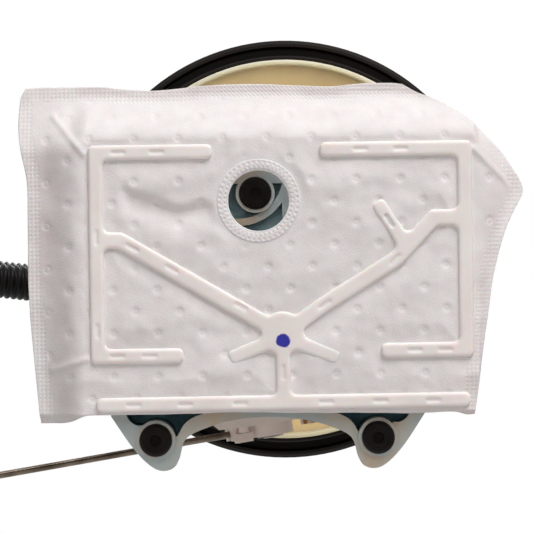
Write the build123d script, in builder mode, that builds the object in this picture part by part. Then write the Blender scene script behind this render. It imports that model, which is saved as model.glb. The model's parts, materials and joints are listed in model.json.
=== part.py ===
from build123d import *
import os
from math import cos, hypot, pi, radians, sin, tan

# In-tank fuel pump module: a flange that closes the tank, two spring-loaded guide rods,
# and a pump carrier on a die-cast base that the springs press down to the tank's floor.
# Millimetres. +Z is up out of the tank, and the origin is the centre of the flange's
# seat plane, where the underside of its rim rests on the seal.

os.makedirs("parts", exist_ok=True)

ON_FLOOR = (Align.CENTER, Align.CENTER, Align.MIN)
HANGING = (Align.CENTER, Align.CENTER, Align.MAX)

# ---------------------------------------------------------------- driving dimensions

# flange and tank neck
rim_radius = 69.5
rim_thickness = 4.0
rim_inner_radius = 60.0
plate_thickness = 4.0
skirt_radius = 63.0
skirt_wall = 1.4
skirt_depth = 13.0
seal_radius = 70.0
seal_web = 2.5
seal_inner_lip_depth = 10.0
seal_outer_lip_depth = 6.5
neck_groove_inner = 65.0
neck_groove_outer = 67.3
rib_count = 8
rib_width = 1.8
rib_height = 3.2
hub_ring_outer = 24.0
hub_ring_inner = 22.2
riser_radius = 6.5
riser_margin = 6.5

# lower end
module_axis_x = 6.5
pump_x, pump_y = 6.5, -24.5
casting_floor = -168.0
casting_height = 12.0
casting_web = 2.5
foot_points = [(37.1, -52.5), (-23.3, -52.5), (9.2, 14.2)]
foot_radius = 4.45
foot_floor = -176.0
foot_boss_radius = 5.3
foot_boss_drop = 5.0
foot_stem_radius = 2.6
foot_nose_radius = 1.6
foot_nose_depth = 2.0
foot_stem_height = 7.5
screw_boss_radius = 3.4
cup_wall = 2.8
cup_opening_radius = 15.5
tube_pocket_gap = 1.0

# guide rods, bushes and springs
rod_points = [(35.5, 4.0), (-22.5, 4.0)]
rod_radius = 3.0
rod_running_gap = 0.05
rod_end = -124.0
rod_socket_floor = -6.0
rod_socket_end = -22.0
rod_socket_radius = 7.6
guide_tube_top = -110.0
guide_tube_radius = 7.0
guide_tube_bore = 5.1
bush_length = 9.5
bush_flange = 1.5
clip_thickness = 1.3
clip_radius = 4.5
clip_groove_radius = 2.5
spring_wire_radius = 0.7
spring_mean_radius = 6.1
spring_turns = 9
end_gap = 0.1

# pump
pump_can_radius = 19.0
pump_can_wall = 1.0
pump_bottom = -160.0
pump_can_top = -84.0
pump_outlet_x, pump_outlet_y = 10.0, -18.0
pump_outlet_radius = 3.8
pump_plug_x, pump_plug_y = 1.0, -31.5
inlet_x, inlet_y = 2.3, -24.1
inlet_radius = 5.5
inlet_bore = 3.8
inlet_end = -171.5
shaft_radius = 1.6
shaft_gap = 0.03
impeller_radius = 15.0
armature_radius = 12.4
armature_slots = 8
commutator_radius = 5.4
magnet_inner_radius = 13.2
impeller_vanes = 24
impeller_thickness = 3.5
housing_port_radius = 2.2
winding_outer_radius = 11.4
winding_inner_radius = 4.6
end_turn_height = 4.0
terminal_pitch = 6.0
terminal_gauge = 0.8
terminal_width = 2.4
outlet_bore = 2.4

# carrier
sleeve_radius = 21.2
sleeve_gap = 0.1
sleeve_top = -98.0
cup_ledge = casting_floor + 4.5
carrier_floor = casting_floor + casting_height
carrier_plate = 2.5
screw_points = [(-27.0, -33.0), (40.0, -33.0), (-8.0, 3.0), (21.0, 3.0)]
screw_radius = 1.5
screw_depth = 10.0
screw_head_radius = 3.0
screw_head_height = 1.9
screw_pad_radius = 4.6
tube_pad_radius = 8.4
gusset_half = 1.1
window_width = 9.0
window_height = 34.0
window_z = -124.0
cushion_inner_radius = 15.8
sensor_pad_thickness = 2.2

# feed hose and fittings
hose_radius = 5.1
hose_bore = 3.5
barb_radius = 3.4
barb_root_radius = 3.0
barb_bore = 2.0
barb_ridges = 3
barb_pitch = 3.6
barb_ridge_length = 2.6
barb_taper = 8.0
flange_barb_length = 22.0
hose_heading = 7.0
hose_fall = 38.0
hose_straight = 48.0
elbow_z = -63.5
feed_x, feed_y = 22.0, -16.5
feed_z = -24.6
spigot_radius = 3.945
spigot_z = 17.0
spigot_length = 40.0
spigot_bore = 2.6
spigot_bead = 1.3
spigot_bead_width = 2.4
spigot_plain_length = 20.0
spigot_heading = -35.0

# strainer
frame_floor = -185.0
frame_thickness = 2.6
bar_width = 4.0
bag_thickness = 4.2
bag_hole_x, bag_hole_y = 8.3, 11.9
bag_hole_radius = 8.2
bar_fillet = 1.6
bar_end_round = 1.4
bar_edge = 0.5
slot_length, slot_width, slot_depth = 4.2, 1.1, 0.6
hub_pad_radius = 5.8

# level sensor: its plane is turned about Z, and the arm hangs at its lower stop
sensor_x, sensor_y, sensor_z = 6.5, -51.6, -104.0
sensor_turn = 7.8
sensor_thickness = 3.4
arm_droop = 22.0
arm_length = 125.0
wire_radius = 1.0
wire_offset = 2.2
float_gap = 0.06
float_length, float_width, float_corner = 40.0, 19.0, 6.5
float_edge = 1.6

# ---------------------------------------------------------------- flange and seal

plug_x, plug_y = -14.0, 26.0
socket_length, socket_width = 22.4, 11.0
socket_wall = 1.8
socket_floor = 8.0
socket_top = 20.0
blade_offset = 2.6
blade_pitch = 4.8
blade_floor = -12.0
blade_width, blade_gauge, blade_length = 2.0, 0.8, 28.5

with BuildPart() as flange:
    # disc, skirt and raised rim, turned in one
    with BuildSketch(Plane.XZ):
        with BuildLine():
            Polyline(
                (0, -plate_thickness),
                (skirt_radius - skirt_wall, -plate_thickness),
                (skirt_radius - skirt_wall, -skirt_depth),
                (skirt_radius, -skirt_depth),
                (skirt_radius, 0),
                (rim_radius, 0),
                (rim_radius, rim_thickness),
                (rim_inner_radius, rim_thickness),
                (rim_inner_radius, 0),
                (0, 0),
                close=True,
            )
        make_face()
    revolve(axis=Axis.Z)
    fillet(flange.edges().filter_by(GeomType.CIRCLE).group_by(Axis.Z)[0], skirt_wall * 0.3)
    # stiffening ribs on the dry side
    with PolarLocations(0, rib_count, start_angle=15):
        with Locations((rim_inner_radius / 2 + 6, 0, 0)):
            Box(rim_inner_radius - 11, rib_width, rib_height, align=ON_FLOOR)
    Cylinder(hub_ring_outer, rib_height, align=ON_FLOOR)
    Cylinder(hub_ring_inner, rib_height, align=ON_FLOOR, mode=Mode.SUBTRACT)
    # electrical socket
    with Locations((plug_x, plug_y, 0)):
        Box(socket_length + 2 * socket_wall, socket_width + 2 * socket_wall, socket_top, align=ON_FLOOR)
    fillet(
        flange.edges().filter_by(Axis.Z).filter_by_position(Axis.Z, socket_top / 2 - 2, socket_top / 2 + 3),
        2.0,
    )
    with Locations((plug_x, plug_y, socket_floor)):
        Box(socket_length, socket_width, socket_top, align=ON_FLOOR, mode=Mode.SUBTRACT)
    with Locations((plug_x, plug_y + socket_width / 2 + socket_wall, socket_top - 4)):
        Box(7, 2.4, 3.0, align=(Align.CENTER, Align.MIN, Align.CENTER))
    # feed outlet: a riser above and below the plate, with its spigot and hose barb
    with Locations((feed_x, feed_y, feed_z - riser_margin)):
        Cylinder(riser_radius, spigot_z - feed_z + 2 * riser_margin, align=ON_FLOOR)
    spigot_plane = Plane(
        origin=(feed_x, feed_y, spigot_z),
        x_dir=(0, 0, 1),
        z_dir=(cos(radians(spigot_heading)), sin(radians(spigot_heading)), 0),
    )
    with BuildSketch(spigot_plane):
        Circle(spigot_radius)
    extrude(amount=spigot_length)
    with BuildSketch(spigot_plane.offset(spigot_length - spigot_plain_length)):
        Circle(spigot_radius + spigot_bead)
    extrude(amount=spigot_bead_width)
    barb_plane = Plane(
        origin=(feed_x, feed_y, feed_z),
        x_dir=(0, 0, 1),
        z_dir=(cos(radians(hose_heading)), sin(radians(hose_heading)), 0),
    )
    with BuildSketch(barb_plane):
        Circle(barb_root_radius)
    extrude(amount=flange_barb_length)
    for ridge in range(barb_ridges):
        with BuildSketch(barb_plane.offset(flange_barb_length / 2 + barb_pitch * ridge)):
            Circle(barb_radius)
        extrude(amount=barb_ridge_length, taper=barb_taper)
    with BuildSketch(spigot_plane):
        Circle(spigot_bore)
    extrude(amount=spigot_length, mode=Mode.SUBTRACT)
    with BuildSketch(barb_plane):
        Circle(barb_bore)
    extrude(amount=flange_barb_length, mode=Mode.SUBTRACT)
    with Locations((feed_x, feed_y, feed_z)):
        Cylinder(spigot_bore, spigot_z - feed_z, align=ON_FLOOR, mode=Mode.SUBTRACT)
    # sockets for the guide rods on the wet side
    for x, y in rod_points:
        with Locations((x, y, -plate_thickness)):
            Cylinder(rod_socket_radius, -rod_socket_end - plate_thickness, align=HANGING)
            with PolarLocations(0, 4, start_angle=45):
                with Locations((rod_socket_radius + 2, 0, 0)):
                    Box(6, 1.6, 8, align=HANGING)
        with Locations((x, y, rod_socket_end)):
            Cylinder(rod_radius, rod_socket_floor - rod_socket_end, align=ON_FLOOR, mode=Mode.SUBTRACT)
    # slots that the socket's blades pass through
    for blade in range(4):
        blade_x = plug_x + (blade - 1.5) * blade_pitch
        with Locations((blade_x, plug_y + blade_offset, 0)):
            Box(blade_width, blade_gauge, blade_length + 1.5, mode=Mode.SUBTRACT)
    # index mark moulded near the skirt
    with Locations((1.9, 59.3, -plate_thickness)):
        Box(0.7, 2.8, 0.8, mode=Mode.SUBTRACT)
flange.part.label = "flange"
export_step(flange.part, "parts/flange.step")

with BuildPart() as tank_seal:
    # channel section that sits over the neck: a deep inner lip and a shorter outer one
    with BuildSketch(Plane.XZ):
        with BuildLine():
            Polyline(
                (skirt_radius + 0.05, 0),
                (seal_radius - 0.4, 0),
                (seal_radius, -0.6),
                (seal_radius, -seal_outer_lip_depth + 1.2),
                (seal_radius - 1.2, -seal_outer_lip_depth),
                (neck_groove_outer + 0.6, -seal_outer_lip_depth),
                (neck_groove_outer, -seal_web),
                (neck_groove_inner, -seal_web),
                (neck_groove_inner - 0.4, -seal_inner_lip_depth + 0.8),
                (neck_groove_inner - 0.9, -seal_inner_lip_depth),
                (skirt_radius + 0.05, -seal_inner_lip_depth),
                close=True,
            )
        make_face()
    revolve(axis=Axis.Z)
tank_seal.part.label = "tank_seal"
export_step(tank_seal.part, "parts/tank_seal.step")

with BuildPart() as socket_blades:
    # four blades that pass through the flange, with crimp tabs below it
    for blade in range(4):
        blade_x = plug_x + (blade - 1.5) * blade_pitch
        with Locations((blade_x, plug_y + blade_offset, blade_floor)):
            Box(blade_width, blade_gauge, blade_length, align=ON_FLOOR)
    chamfer(socket_blades.edges().filter_by(Axis.X).group_by(Axis.Z)[-1], 0.3)
socket_blades.part.label = "socket_blades"
export_step(socket_blades.part, "parts/socket_blades.step")

# ---------------------------------------------------------------- guide rods and springs

bush_floor = guide_tube_top - bush_length
clip_top = bush_floor - end_gap
spring_floor = guide_tube_top + bush_flange + end_gap
spring_top = rod_socket_end - end_gap

with BuildPart() as guide_rods:
    # pressed into the flange, with a groove for the clip at the lower end
    for x, y in rod_points:
        with Locations((x, y, rod_end)):
            Cylinder(rod_radius, rod_socket_floor - rod_end, align=ON_FLOOR)
    chamfer(guide_rods.edges().filter_by(GeomType.CIRCLE).group_by(Axis.Z)[0], 0.6)
    for x, y in rod_points:
        with BuildSketch(Plane((x, y, clip_top - clip_thickness))):
            Circle(rod_radius + 1)
            Circle(clip_groove_radius, mode=Mode.SUBTRACT)
        extrude(amount=clip_thickness, mode=Mode.SUBTRACT)
guide_rods.part.label = "guide_rods"
export_step(guide_rods.part, "parts/guide_rods.step")

with BuildPart() as rod_clips:
    # open retaining clips that stop the base from dropping off the rods
    for x, y in rod_points:
        with BuildSketch(Plane((x, y, clip_top - clip_thickness))):
            Circle(clip_radius)
            Circle(clip_groove_radius, mode=Mode.SUBTRACT)
            with Locations((0, -clip_radius)):
                Rectangle(3.4, clip_radius * 2, mode=Mode.SUBTRACT)
        extrude(amount=clip_thickness)
rod_clips.part.label = "rod_clips"
export_step(rod_clips.part, "parts/rod_clips.step")

with BuildPart() as guide_bushes:
    # flanged slide bushes at the top of the carrier's guide tubes
    for x, y in rod_points:
        with BuildSketch(Plane((x, y, bush_floor))):
            Circle(guide_tube_bore)
            Circle(rod_radius + rod_running_gap, mode=Mode.SUBTRACT)
        extrude(amount=bush_length)
        with BuildSketch(Plane((x, y, guide_tube_top))):
            Circle(guide_tube_radius)
            Circle(rod_radius + rod_running_gap, mode=Mode.SUBTRACT)
        extrude(amount=bush_flange)
guide_bushes.part.label = "guide_bushes"
export_step(guide_bushes.part, "parts/guide_bushes.step")


def coil_spring(x, y):
    """A spring round one guide rod, with both ends ground flat."""
    height = spring_top - spring_floor
    pitch = height / spring_turns
    start = Vector(x, y, spring_floor)
    with BuildPart() as spring:
        with BuildLine() as coil:
            Helix(pitch=pitch, height=height, radius=spring_mean_radius, center=start)
        with BuildSketch(Plane(origin=coil.line @ 0, z_dir=coil.line % 0)):
            RegularPolygon(spring_wire_radius, 8)
        sweep(is_frenet=True)
        with Locations((x, y, spring_floor)):
            Cylinder(10, 3, align=HANGING, mode=Mode.SUBTRACT)
        with Locations((x, y, spring_top)):
            Cylinder(10, 3, align=ON_FLOOR, mode=Mode.SUBTRACT)
    return spring.part


left_spring = coil_spring(*rod_points[0])
left_spring.label = "left_spring"
export_step(left_spring, "parts/left_spring.step")

right_spring = coil_spring(*rod_points[1])
right_spring.label = "right_spring"
export_step(right_spring, "parts/right_spring.step")

# ---------------------------------------------------------------- die-cast base

foot_seat = casting_floor - foot_boss_drop
rear_arm_width = 19.0
rear_pocket_centre = (foot_points[2][0], 10.0)
rear_pocket_width, rear_pocket_length = 14.6, 14.0
rear_rib_centre = (14.0, 20.0)
rear_rib_radius, rear_rib_width = 12.6, 2.0


def casting_outline():
    """Front arch with a lobe round each front foot, then the sides and the rear arm."""
    with BuildSketch() as outline:
        with BuildLine():
            front = Spline(
                (module_axis_x, -46.9),
                (module_axis_x + 12, -48.2),
                (module_axis_x + 18.3, -50.2),
                (module_axis_x + 22.8, -52.9),
                (module_axis_x + 24.3, -56.8),
                (module_axis_x + 25.6, -60.1),
                (module_axis_x + 29.2, -61.3),
                (module_axis_x + 33.0, -59.4),
                (module_axis_x + 37.9, -53.9),
                (module_axis_x + 43.0, -46.2),
                tangents=((1, 0), (0.55, 0.83)),
            )
            Polyline(front @ 1, (module_axis_x + 43.5, -32), (module_axis_x + 38, 9), (module_axis_x, 9))
            Line((module_axis_x, 9), front @ 0)
        make_face()
        mirror(about=Plane((module_axis_x, 0, 0), z_dir=(1, 0, 0)))
        with Locations(foot_points[2]):
            Circle(rear_arm_width / 2)
        with Locations((foot_points[2][0], 6)):
            Rectangle(rear_arm_width, 16)
    return outline.sketch


casting_profile = casting_outline()

with BuildPart() as base_casting:
    with BuildSketch(Plane.XY.offset(casting_floor)):
        add(casting_profile)
    extrude(amount=casting_height)
    # pockets from below, between the rim, the pump cup and the foot bosses
    with BuildSketch(Plane.XY.offset(casting_floor)):
        with BuildLine():
            inner_rim = Spline(
                (module_axis_x - 11.0, -44.7),
                (module_axis_x - 17.3, -45.7),
                (module_axis_x - 22.4, -48.0),
                (module_axis_x - 24.1, -50.4),
            )
            outer_rim = Spline(
                (module_axis_x - 34.6, -48.7),
                (module_axis_x - 36.6, -48.5),
                (module_axis_x - 38.2, -47.1),
                (module_axis_x - 39.1, -44.4),
            )
            Polyline(inner_rim @ 1, (module_axis_x - 25.0, -52.0), outer_rim @ 0)
            Polyline(
                outer_rim @ 1,
                (module_axis_x - 39.3, -31),
                (module_axis_x - 34.0, 4.0),
                (module_axis_x - 13, 4.0),
                inner_rim @ 0,
            )
        make_face()
        mirror(about=Plane((module_axis_x, 0, 0), z_dir=(1, 0, 0)))
        with Locations(rear_pocket_centre):
            Rectangle(rear_pocket_width, rear_pocket_length)
        with Locations((pump_x, pump_y)):
            Circle(sleeve_radius + cup_wall, mode=Mode.SUBTRACT)
        for x, y in rod_points:
            with Locations((x, y)):
                Circle(guide_tube_radius + tube_pocket_gap, mode=Mode.SUBTRACT)
    extrude(amount=casting_height - casting_web, mode=Mode.SUBTRACT)
    # curved rib across the rear pocket, beside the foot's boss
    with BuildSketch(Plane.XY.offset(casting_floor)):
        with Locations(rear_rib_centre):
            Circle(rear_rib_radius + rear_rib_width)
            Circle(rear_rib_radius, mode=Mode.SUBTRACT)
        with Locations(rear_pocket_centre):
            Rectangle(rear_pocket_width, rear_pocket_length, mode=Mode.INTERSECT)
    extrude(amount=casting_height - casting_web)
    # bosses that take the rubber feet
    for x, y in foot_points:
        with Locations((x, y, foot_seat)):
            Cylinder(foot_boss_radius, casting_height + foot_boss_drop, align=ON_FLOOR)
    for x, y in screw_points:
        with Locations((x, y, casting_floor)):
            Cylinder(screw_boss_radius, casting_height, align=ON_FLOOR)
        with Locations((x, y, carrier_floor)):
            Cylinder(screw_radius, screw_depth - carrier_plate, align=HANGING, mode=Mode.SUBTRACT)
    # cup: the pump drops in from above and its inlet cover rests on the ledge
    with Locations((pump_x, pump_y, cup_ledge)):
        Cylinder(sleeve_radius + sleeve_gap, 60, align=ON_FLOOR, mode=Mode.SUBTRACT)
    with Locations((pump_x, pump_y, casting_floor - 1)):
        Cylinder(cup_opening_radius, 30, align=ON_FLOOR, mode=Mode.SUBTRACT)
    for x, y in foot_points:
        with Locations((x, y, foot_seat - 1)):
            Cylinder(foot_stem_radius, 9, align=ON_FLOOR, mode=Mode.SUBTRACT)
base_casting.part.label = "base_casting"
export_step(base_casting.part, "parts/base_casting.step")

with BuildPart() as rubber_feet:
    # domed pads with a stem pressed up into each boss
    for x, y in foot_points:
        with BuildSketch(Plane((x, y, 0), x_dir=(1, 0, 0), z_dir=(0, -1, 0))):
            with BuildLine():
                crown = ThreePointArc(
                    (foot_radius, foot_floor + 0.9),
                    (foot_radius - 0.3, foot_floor + 0.3),
                    (foot_radius - 1.1, foot_floor),
                )
                Line((foot_radius, foot_seat), crown @ 0)
                Polyline(
                    crown @ 1,
                    (foot_nose_radius, foot_floor),
                    (foot_nose_radius, foot_floor + foot_nose_depth),
                    (0, foot_floor + foot_nose_depth),
                    (0, foot_seat + foot_stem_height),
                    (foot_stem_radius, foot_seat + foot_stem_height),
                    (foot_stem_radius, foot_seat),
                    (foot_radius, foot_seat),
                )
            make_face()
        revolve(axis=Axis((x, y, 0), (0, 0, 1)))
rubber_feet.part.label = "rubber_feet"
export_step(rubber_feet.part, "parts/rubber_feet.step")

# ---------------------------------------------------------------- carrier

sensor_plane = Plane(
    origin=(sensor_x, sensor_y, sensor_z),
    x_dir=(cos(radians(sensor_turn)), -sin(radians(sensor_turn)), 0),
    z_dir=(-sin(radians(sensor_turn)), -cos(radians(sensor_turn)), 0),
)
pad_floor, pad_top = -26.0, 18.0

with BuildPart() as pump_carrier:
    # foot plate, drawn tight round the pump, the tubes and the screws
    with BuildSketch(Plane.XY.offset(carrier_floor)):
        with Locations(rod_points):
            Circle(tube_pad_radius)
        with Locations(screw_points):
            Circle(screw_pad_radius)
        with Locations((pump_x, pump_y)):
            Circle(sleeve_radius)
        make_hull()
    extrude(amount=carrier_plate)
    with Locations((pump_x, pump_y, cup_ledge)):
        Cylinder(sleeve_radius, sleeve_top - cup_ledge, align=ON_FLOOR)
    # guide tubes with a gusset back to the sleeve
    for x, y in rod_points:
        with Locations((x, y, carrier_floor)):
            Cylinder(guide_tube_radius, guide_tube_top - carrier_floor, align=ON_FLOOR)
        run = hypot(x - pump_x, y - pump_y)
        gusset = Plane(
            origin=(x, y, carrier_floor),
            x_dir=((pump_x - x) / run, (pump_y - y) / run, 0),
            z_dir=((pump_y - y) / run, -(pump_x - x) / run, 0),
        )
        with BuildSketch(gusset):
            with BuildLine():
                Polyline((0, 0), (run - 20, 0), (run - 20, 46), (6, 30), (0, 30), close=True)
            make_face()
        extrude(amount=gusset_half, both=True)
    # pad that the level sensor clips onto, held off the sleeve by two ribs
    with BuildSketch(sensor_plane.offset(-sensor_thickness - sensor_pad_thickness)):
        with Locations((-2, (pad_floor + pad_top) / 2)):
            RectangleRounded(37, pad_top - pad_floor, 2.5)
    extrude(amount=sensor_pad_thickness)
    for rib in (-11.0, 9.0):
        with BuildSketch(sensor_plane.offset(-sensor_thickness - sensor_pad_thickness)):
            with Locations((rib, -2)):
                Rectangle(2, 40)
        extrude(amount=-9)
    # open the sleeve, the tubes and the cooling windows
    with Locations((pump_x, pump_y, cup_ledge - 1)):
        Cylinder(pump_can_radius + 0.15, 90, align=ON_FLOOR, mode=Mode.SUBTRACT)
    for x, y in rod_points:
        with Locations((x, y, carrier_floor - 1)):
            Cylinder(guide_tube_bore, 60, align=ON_FLOOR, mode=Mode.SUBTRACT)
    with Locations((pump_x, pump_y, window_z)):
        with PolarLocations(sleeve_radius, 2, start_angle=160, angular_range=40):
            Box(8, window_width, window_height, mode=Mode.SUBTRACT)
        with PolarLocations(sleeve_radius, 2, start_angle=0, angular_range=40, endpoint=False):
            Box(8, window_width, window_height, mode=Mode.SUBTRACT)
    for x, y in screw_points:
        with Locations((x, y, carrier_floor - 1)):
            Cylinder(screw_radius + 0.2, 5, align=ON_FLOOR, mode=Mode.SUBTRACT)
pump_carrier.part.label = "pump_carrier"
export_step(pump_carrier.part, "parts/pump_carrier.step")

with BuildPart() as carrier_screws:
    # pan-head screws down into the base casting
    for x, y in screw_points:
        with Locations((x, y, carrier_floor + carrier_plate)):
            Cylinder(screw_head_radius, screw_head_height, align=ON_FLOOR)
            Cylinder(screw_radius, screw_depth, align=HANGING)
            with Locations((0, 0, 0.8)):
                Box(3.6, 0.7, 2.4, align=ON_FLOOR, mode=Mode.SUBTRACT)
                Box(0.7, 3.6, 2.4, align=ON_FLOOR, mode=Mode.SUBTRACT)
carrier_screws.part.label = "carrier_screws"
export_step(carrier_screws.part, "parts/carrier_screws.step")

with BuildPart() as pump_cushion:
    # rubber ring between the cup's ledge and the pump
    with BuildSketch(Plane((pump_x, pump_y, cup_ledge))):
        Circle(pump_can_radius)
        Circle(cushion_inner_radius, mode=Mode.SUBTRACT)
    extrude(amount=pump_bottom - cup_ledge)
pump_cushion.part.label = "pump_cushion"
export_step(pump_cushion.part, "parts/pump_cushion.step")

# ---------------------------------------------------------------- pump

pump_axis = Axis((pump_x, pump_y, 0), (0, 0, 1))
pump_section = Plane((pump_x, pump_y, 0), x_dir=(1, 0, 0), z_dir=(0, -1, 0))
can_bore = pump_can_radius - pump_can_wall
lip_radius = can_bore - 1.3
chamber_floor = pump_bottom + 7.0
chamber_top = chamber_floor + 3.8
body_plate_top = chamber_floor + 7.0
cap_floor = pump_can_top - 8.0
cap_top = pump_can_top + 4.0
brush_z = cap_floor - 5.0

with BuildPart() as pump_can:
    # deep-drawn tube with both ends rolled in
    with BuildSketch(pump_section):
        with BuildLine():
            Polyline(
                (lip_radius, pump_bottom),
                (pump_can_radius, pump_bottom),
                (pump_can_radius, pump_can_top),
                (lip_radius, pump_can_top),
                (lip_radius, pump_can_top - pump_can_wall),
                (can_bore, pump_can_top - pump_can_wall),
                (can_bore, pump_bottom + pump_can_wall),
                (lip_radius, pump_bottom + pump_can_wall),
                close=True,
            )
        make_face()
        fillet(vertices().group_by(Axis.X)[-1], 0.8)
    revolve(axis=pump_axis)
pump_can.part.label = "pump_can"
export_step(pump_can.part, "parts/pump_can.step")

with BuildPart() as pump_inlet_cover:
    # end cover with the off-centre inlet tube and the shaft's thrust socket
    with Locations((pump_x, pump_y, pump_bottom + pump_can_wall)):
        Cylinder(can_bore, chamber_floor - pump_bottom - pump_can_wall, align=ON_FLOOR)
        Cylinder(15.2, 2.6, align=HANGING)
    with Locations((inlet_x, inlet_y, inlet_end)):
        Cylinder(inlet_radius, pump_bottom - inlet_end, align=ON_FLOOR)
        Cylinder(inlet_bore, chamber_floor - inlet_end, align=ON_FLOOR, mode=Mode.SUBTRACT)
    with Locations((pump_x, pump_y, chamber_floor)):
        Cylinder(shaft_radius + shaft_gap, 2.6, align=HANGING, mode=Mode.SUBTRACT)
pump_inlet_cover.part.label = "pump_inlet_cover"
export_step(pump_inlet_cover.part, "parts/pump_inlet_cover.step")

with BuildPart() as impeller_housing:
    # plate with the impeller's chamber below and the lower shaft bearing
    with Locations((pump_x, pump_y, chamber_floor)):
        Cylinder(can_bore, body_plate_top - chamber_floor, align=ON_FLOOR)
        Cylinder(impeller_radius + 0.2, chamber_top - chamber_floor, align=ON_FLOOR, mode=Mode.SUBTRACT)
        Cylinder(shaft_radius + shaft_gap, 20, align=ON_FLOOR, mode=Mode.SUBTRACT)
        with Locations((11.5, 4, 0)):
            Cylinder(housing_port_radius, 20, align=ON_FLOOR, mode=Mode.SUBTRACT)
impeller_housing.part.label = "impeller_housing"
export_step(impeller_housing.part, "parts/impeller_housing.step")

with BuildPart() as impeller:
    # turbine disc with a ring of vane slots round its edge
    with Locations((pump_x, pump_y, chamber_floor + 0.15)):
        Cylinder(impeller_radius, impeller_thickness, align=ON_FLOOR)
        Cylinder(shaft_radius, 20, align=ON_FLOOR, mode=Mode.SUBTRACT)
        with PolarLocations(impeller_radius - 1.2, impeller_vanes):
            Box(3.0, 1.6, 20, mode=Mode.SUBTRACT)
impeller.part.label = "impeller"
export_step(impeller.part, "parts/impeller.step")

with BuildPart() as pump_shaft:
    with Locations((pump_x, pump_y, chamber_floor - 2.4)):
        Cylinder(shaft_radius, cap_floor + 3.5 - chamber_floor + 2.4, align=ON_FLOOR)
pump_shaft.part.label = "pump_shaft"
export_step(pump_shaft.part, "parts/pump_shaft.step")

core_floor, core_top = body_plate_top + 6.0, cap_floor - 14.0

with BuildPart() as armature_core:
    # laminated stack with slots for the windings
    with Locations((pump_x, pump_y, core_floor)):
        Cylinder(armature_radius, core_top - core_floor, align=ON_FLOOR)
        Cylinder(shaft_radius, 60, align=ON_FLOOR, mode=Mode.SUBTRACT)
        with PolarLocations(armature_radius - 2.4, armature_slots):
            Box(5.4, 2.2, 100, mode=Mode.SUBTRACT)
armature_core.part.label = "armature_core"
export_step(armature_core.part, "parts/armature_core.step")

with BuildPart() as windings:
    # copper in the slots, joined by the end turns above and below the core
    for end_floor in (core_floor - end_turn_height, core_top):
        with Locations((pump_x, pump_y, end_floor)):
            Cylinder(winding_outer_radius, end_turn_height, align=ON_FLOOR)
            Cylinder(winding_inner_radius, end_turn_height, align=ON_FLOOR, mode=Mode.SUBTRACT)
    with Locations((pump_x, pump_y, core_floor)):
        with PolarLocations(9.4, armature_slots):
            Box(3.6, 1.9, core_top - core_floor, align=ON_FLOOR)
    chamfer(windings.edges().filter_by(GeomType.CIRCLE).group_by(Axis.Z)[0].sort_by(SortBy.RADIUS)[-1], 1.2)
    chamfer(windings.edges().filter_by(GeomType.CIRCLE).group_by(Axis.Z)[-1].sort_by(SortBy.RADIUS)[-1], 1.2)
windings.part.label = "windings"
export_step(windings.part, "parts/windings.step")

with BuildPart() as commutator:
    # segmented copper barrel that the brushes run on
    with Locations((pump_x, pump_y, brush_z)):
        Cylinder(commutator_radius, 8.5)
        Cylinder(shaft_radius, 12, mode=Mode.SUBTRACT)
        with PolarLocations(commutator_radius, armature_slots, start_angle=22.5):
            Box(1.6, 0.5, 12, mode=Mode.SUBTRACT)
commutator.part.label = "commutator"
export_step(commutator.part, "parts/commutator.step")

with BuildPart() as pump_magnets:
    # two arc magnets inside the can
    with BuildSketch(Plane((pump_x, pump_y, core_floor - 1))):
        Circle(can_bore)
        Circle(magnet_inner_radius, mode=Mode.SUBTRACT)
        Rectangle(50, 12, mode=Mode.SUBTRACT)
    extrude(amount=core_top - core_floor + 2)
pump_magnets.part.label = "pump_magnets"
export_step(pump_magnets.part, "parts/pump_magnets.step")

brush_length, brush_width, brush_height = 5.4, 3.6, 5.0
brush_centre = commutator_radius + 0.1 + brush_length / 2

with BuildPart() as pump_outlet_cap:
    # top cover with the outlet tube, upper bearing and a tunnel for each brush
    with Locations((pump_x, pump_y, cap_floor)):
        Cylinder(can_bore, pump_can_top - pump_can_wall - cap_floor, align=ON_FLOOR)
        Cylinder(lip_radius, cap_top - cap_floor, align=ON_FLOOR)
    with Locations((pump_outlet_x, pump_outlet_y, cap_top)):
        Cylinder(pump_outlet_radius + 1.4, 3, align=ON_FLOOR)
        Cylinder(pump_outlet_radius, 16, align=ON_FLOOR)
    with Locations((pump_x, pump_y, brush_z)):
        with PolarLocations(brush_centre + 0.8, 2):
            Box(brush_length + 0.8, brush_width + 2.4, 10)
        with PolarLocations(brush_centre, 2):
            Box(brush_length, brush_width, brush_height, mode=Mode.SUBTRACT)
        Cylinder(commutator_radius + 0.5, 10, mode=Mode.SUBTRACT)
    with Locations((pump_outlet_x, pump_outlet_y, cap_floor)):
        Cylinder(outlet_bore, 40, align=ON_FLOOR, mode=Mode.SUBTRACT)
    with Locations((pump_x, pump_y, cap_floor)):
        Cylinder(shaft_radius + shaft_gap, 4.5, align=ON_FLOOR, mode=Mode.SUBTRACT)
    for side in (-1, 1):
        with Locations((pump_plug_x + terminal_pitch / 2 * side, pump_plug_y, cap_top)):
            Box(terminal_gauge, terminal_width, 6, align=HANGING, mode=Mode.SUBTRACT)
pump_outlet_cap.part.label = "pump_outlet_cap"
export_step(pump_outlet_cap.part, "parts/pump_outlet_cap.step")

with BuildPart() as pump_brushes:
    with Locations((pump_x, pump_y, brush_z)):
        with PolarLocations(brush_centre, 2):
            Box(brush_length, brush_width, brush_height)
pump_brushes.part.label = "pump_brushes"
export_step(pump_brushes.part, "parts/pump_brushes.step")

with BuildPart() as pump_terminals:
    for side in (-1, 1):
        with Locations((pump_plug_x + terminal_pitch / 2 * side, pump_plug_y, cap_top - 6)):
            Box(terminal_gauge, terminal_width, 13, align=ON_FLOOR)
pump_terminals.part.label = "pump_terminals"
export_step(pump_terminals.part, "parts/pump_terminals.step")

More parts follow.
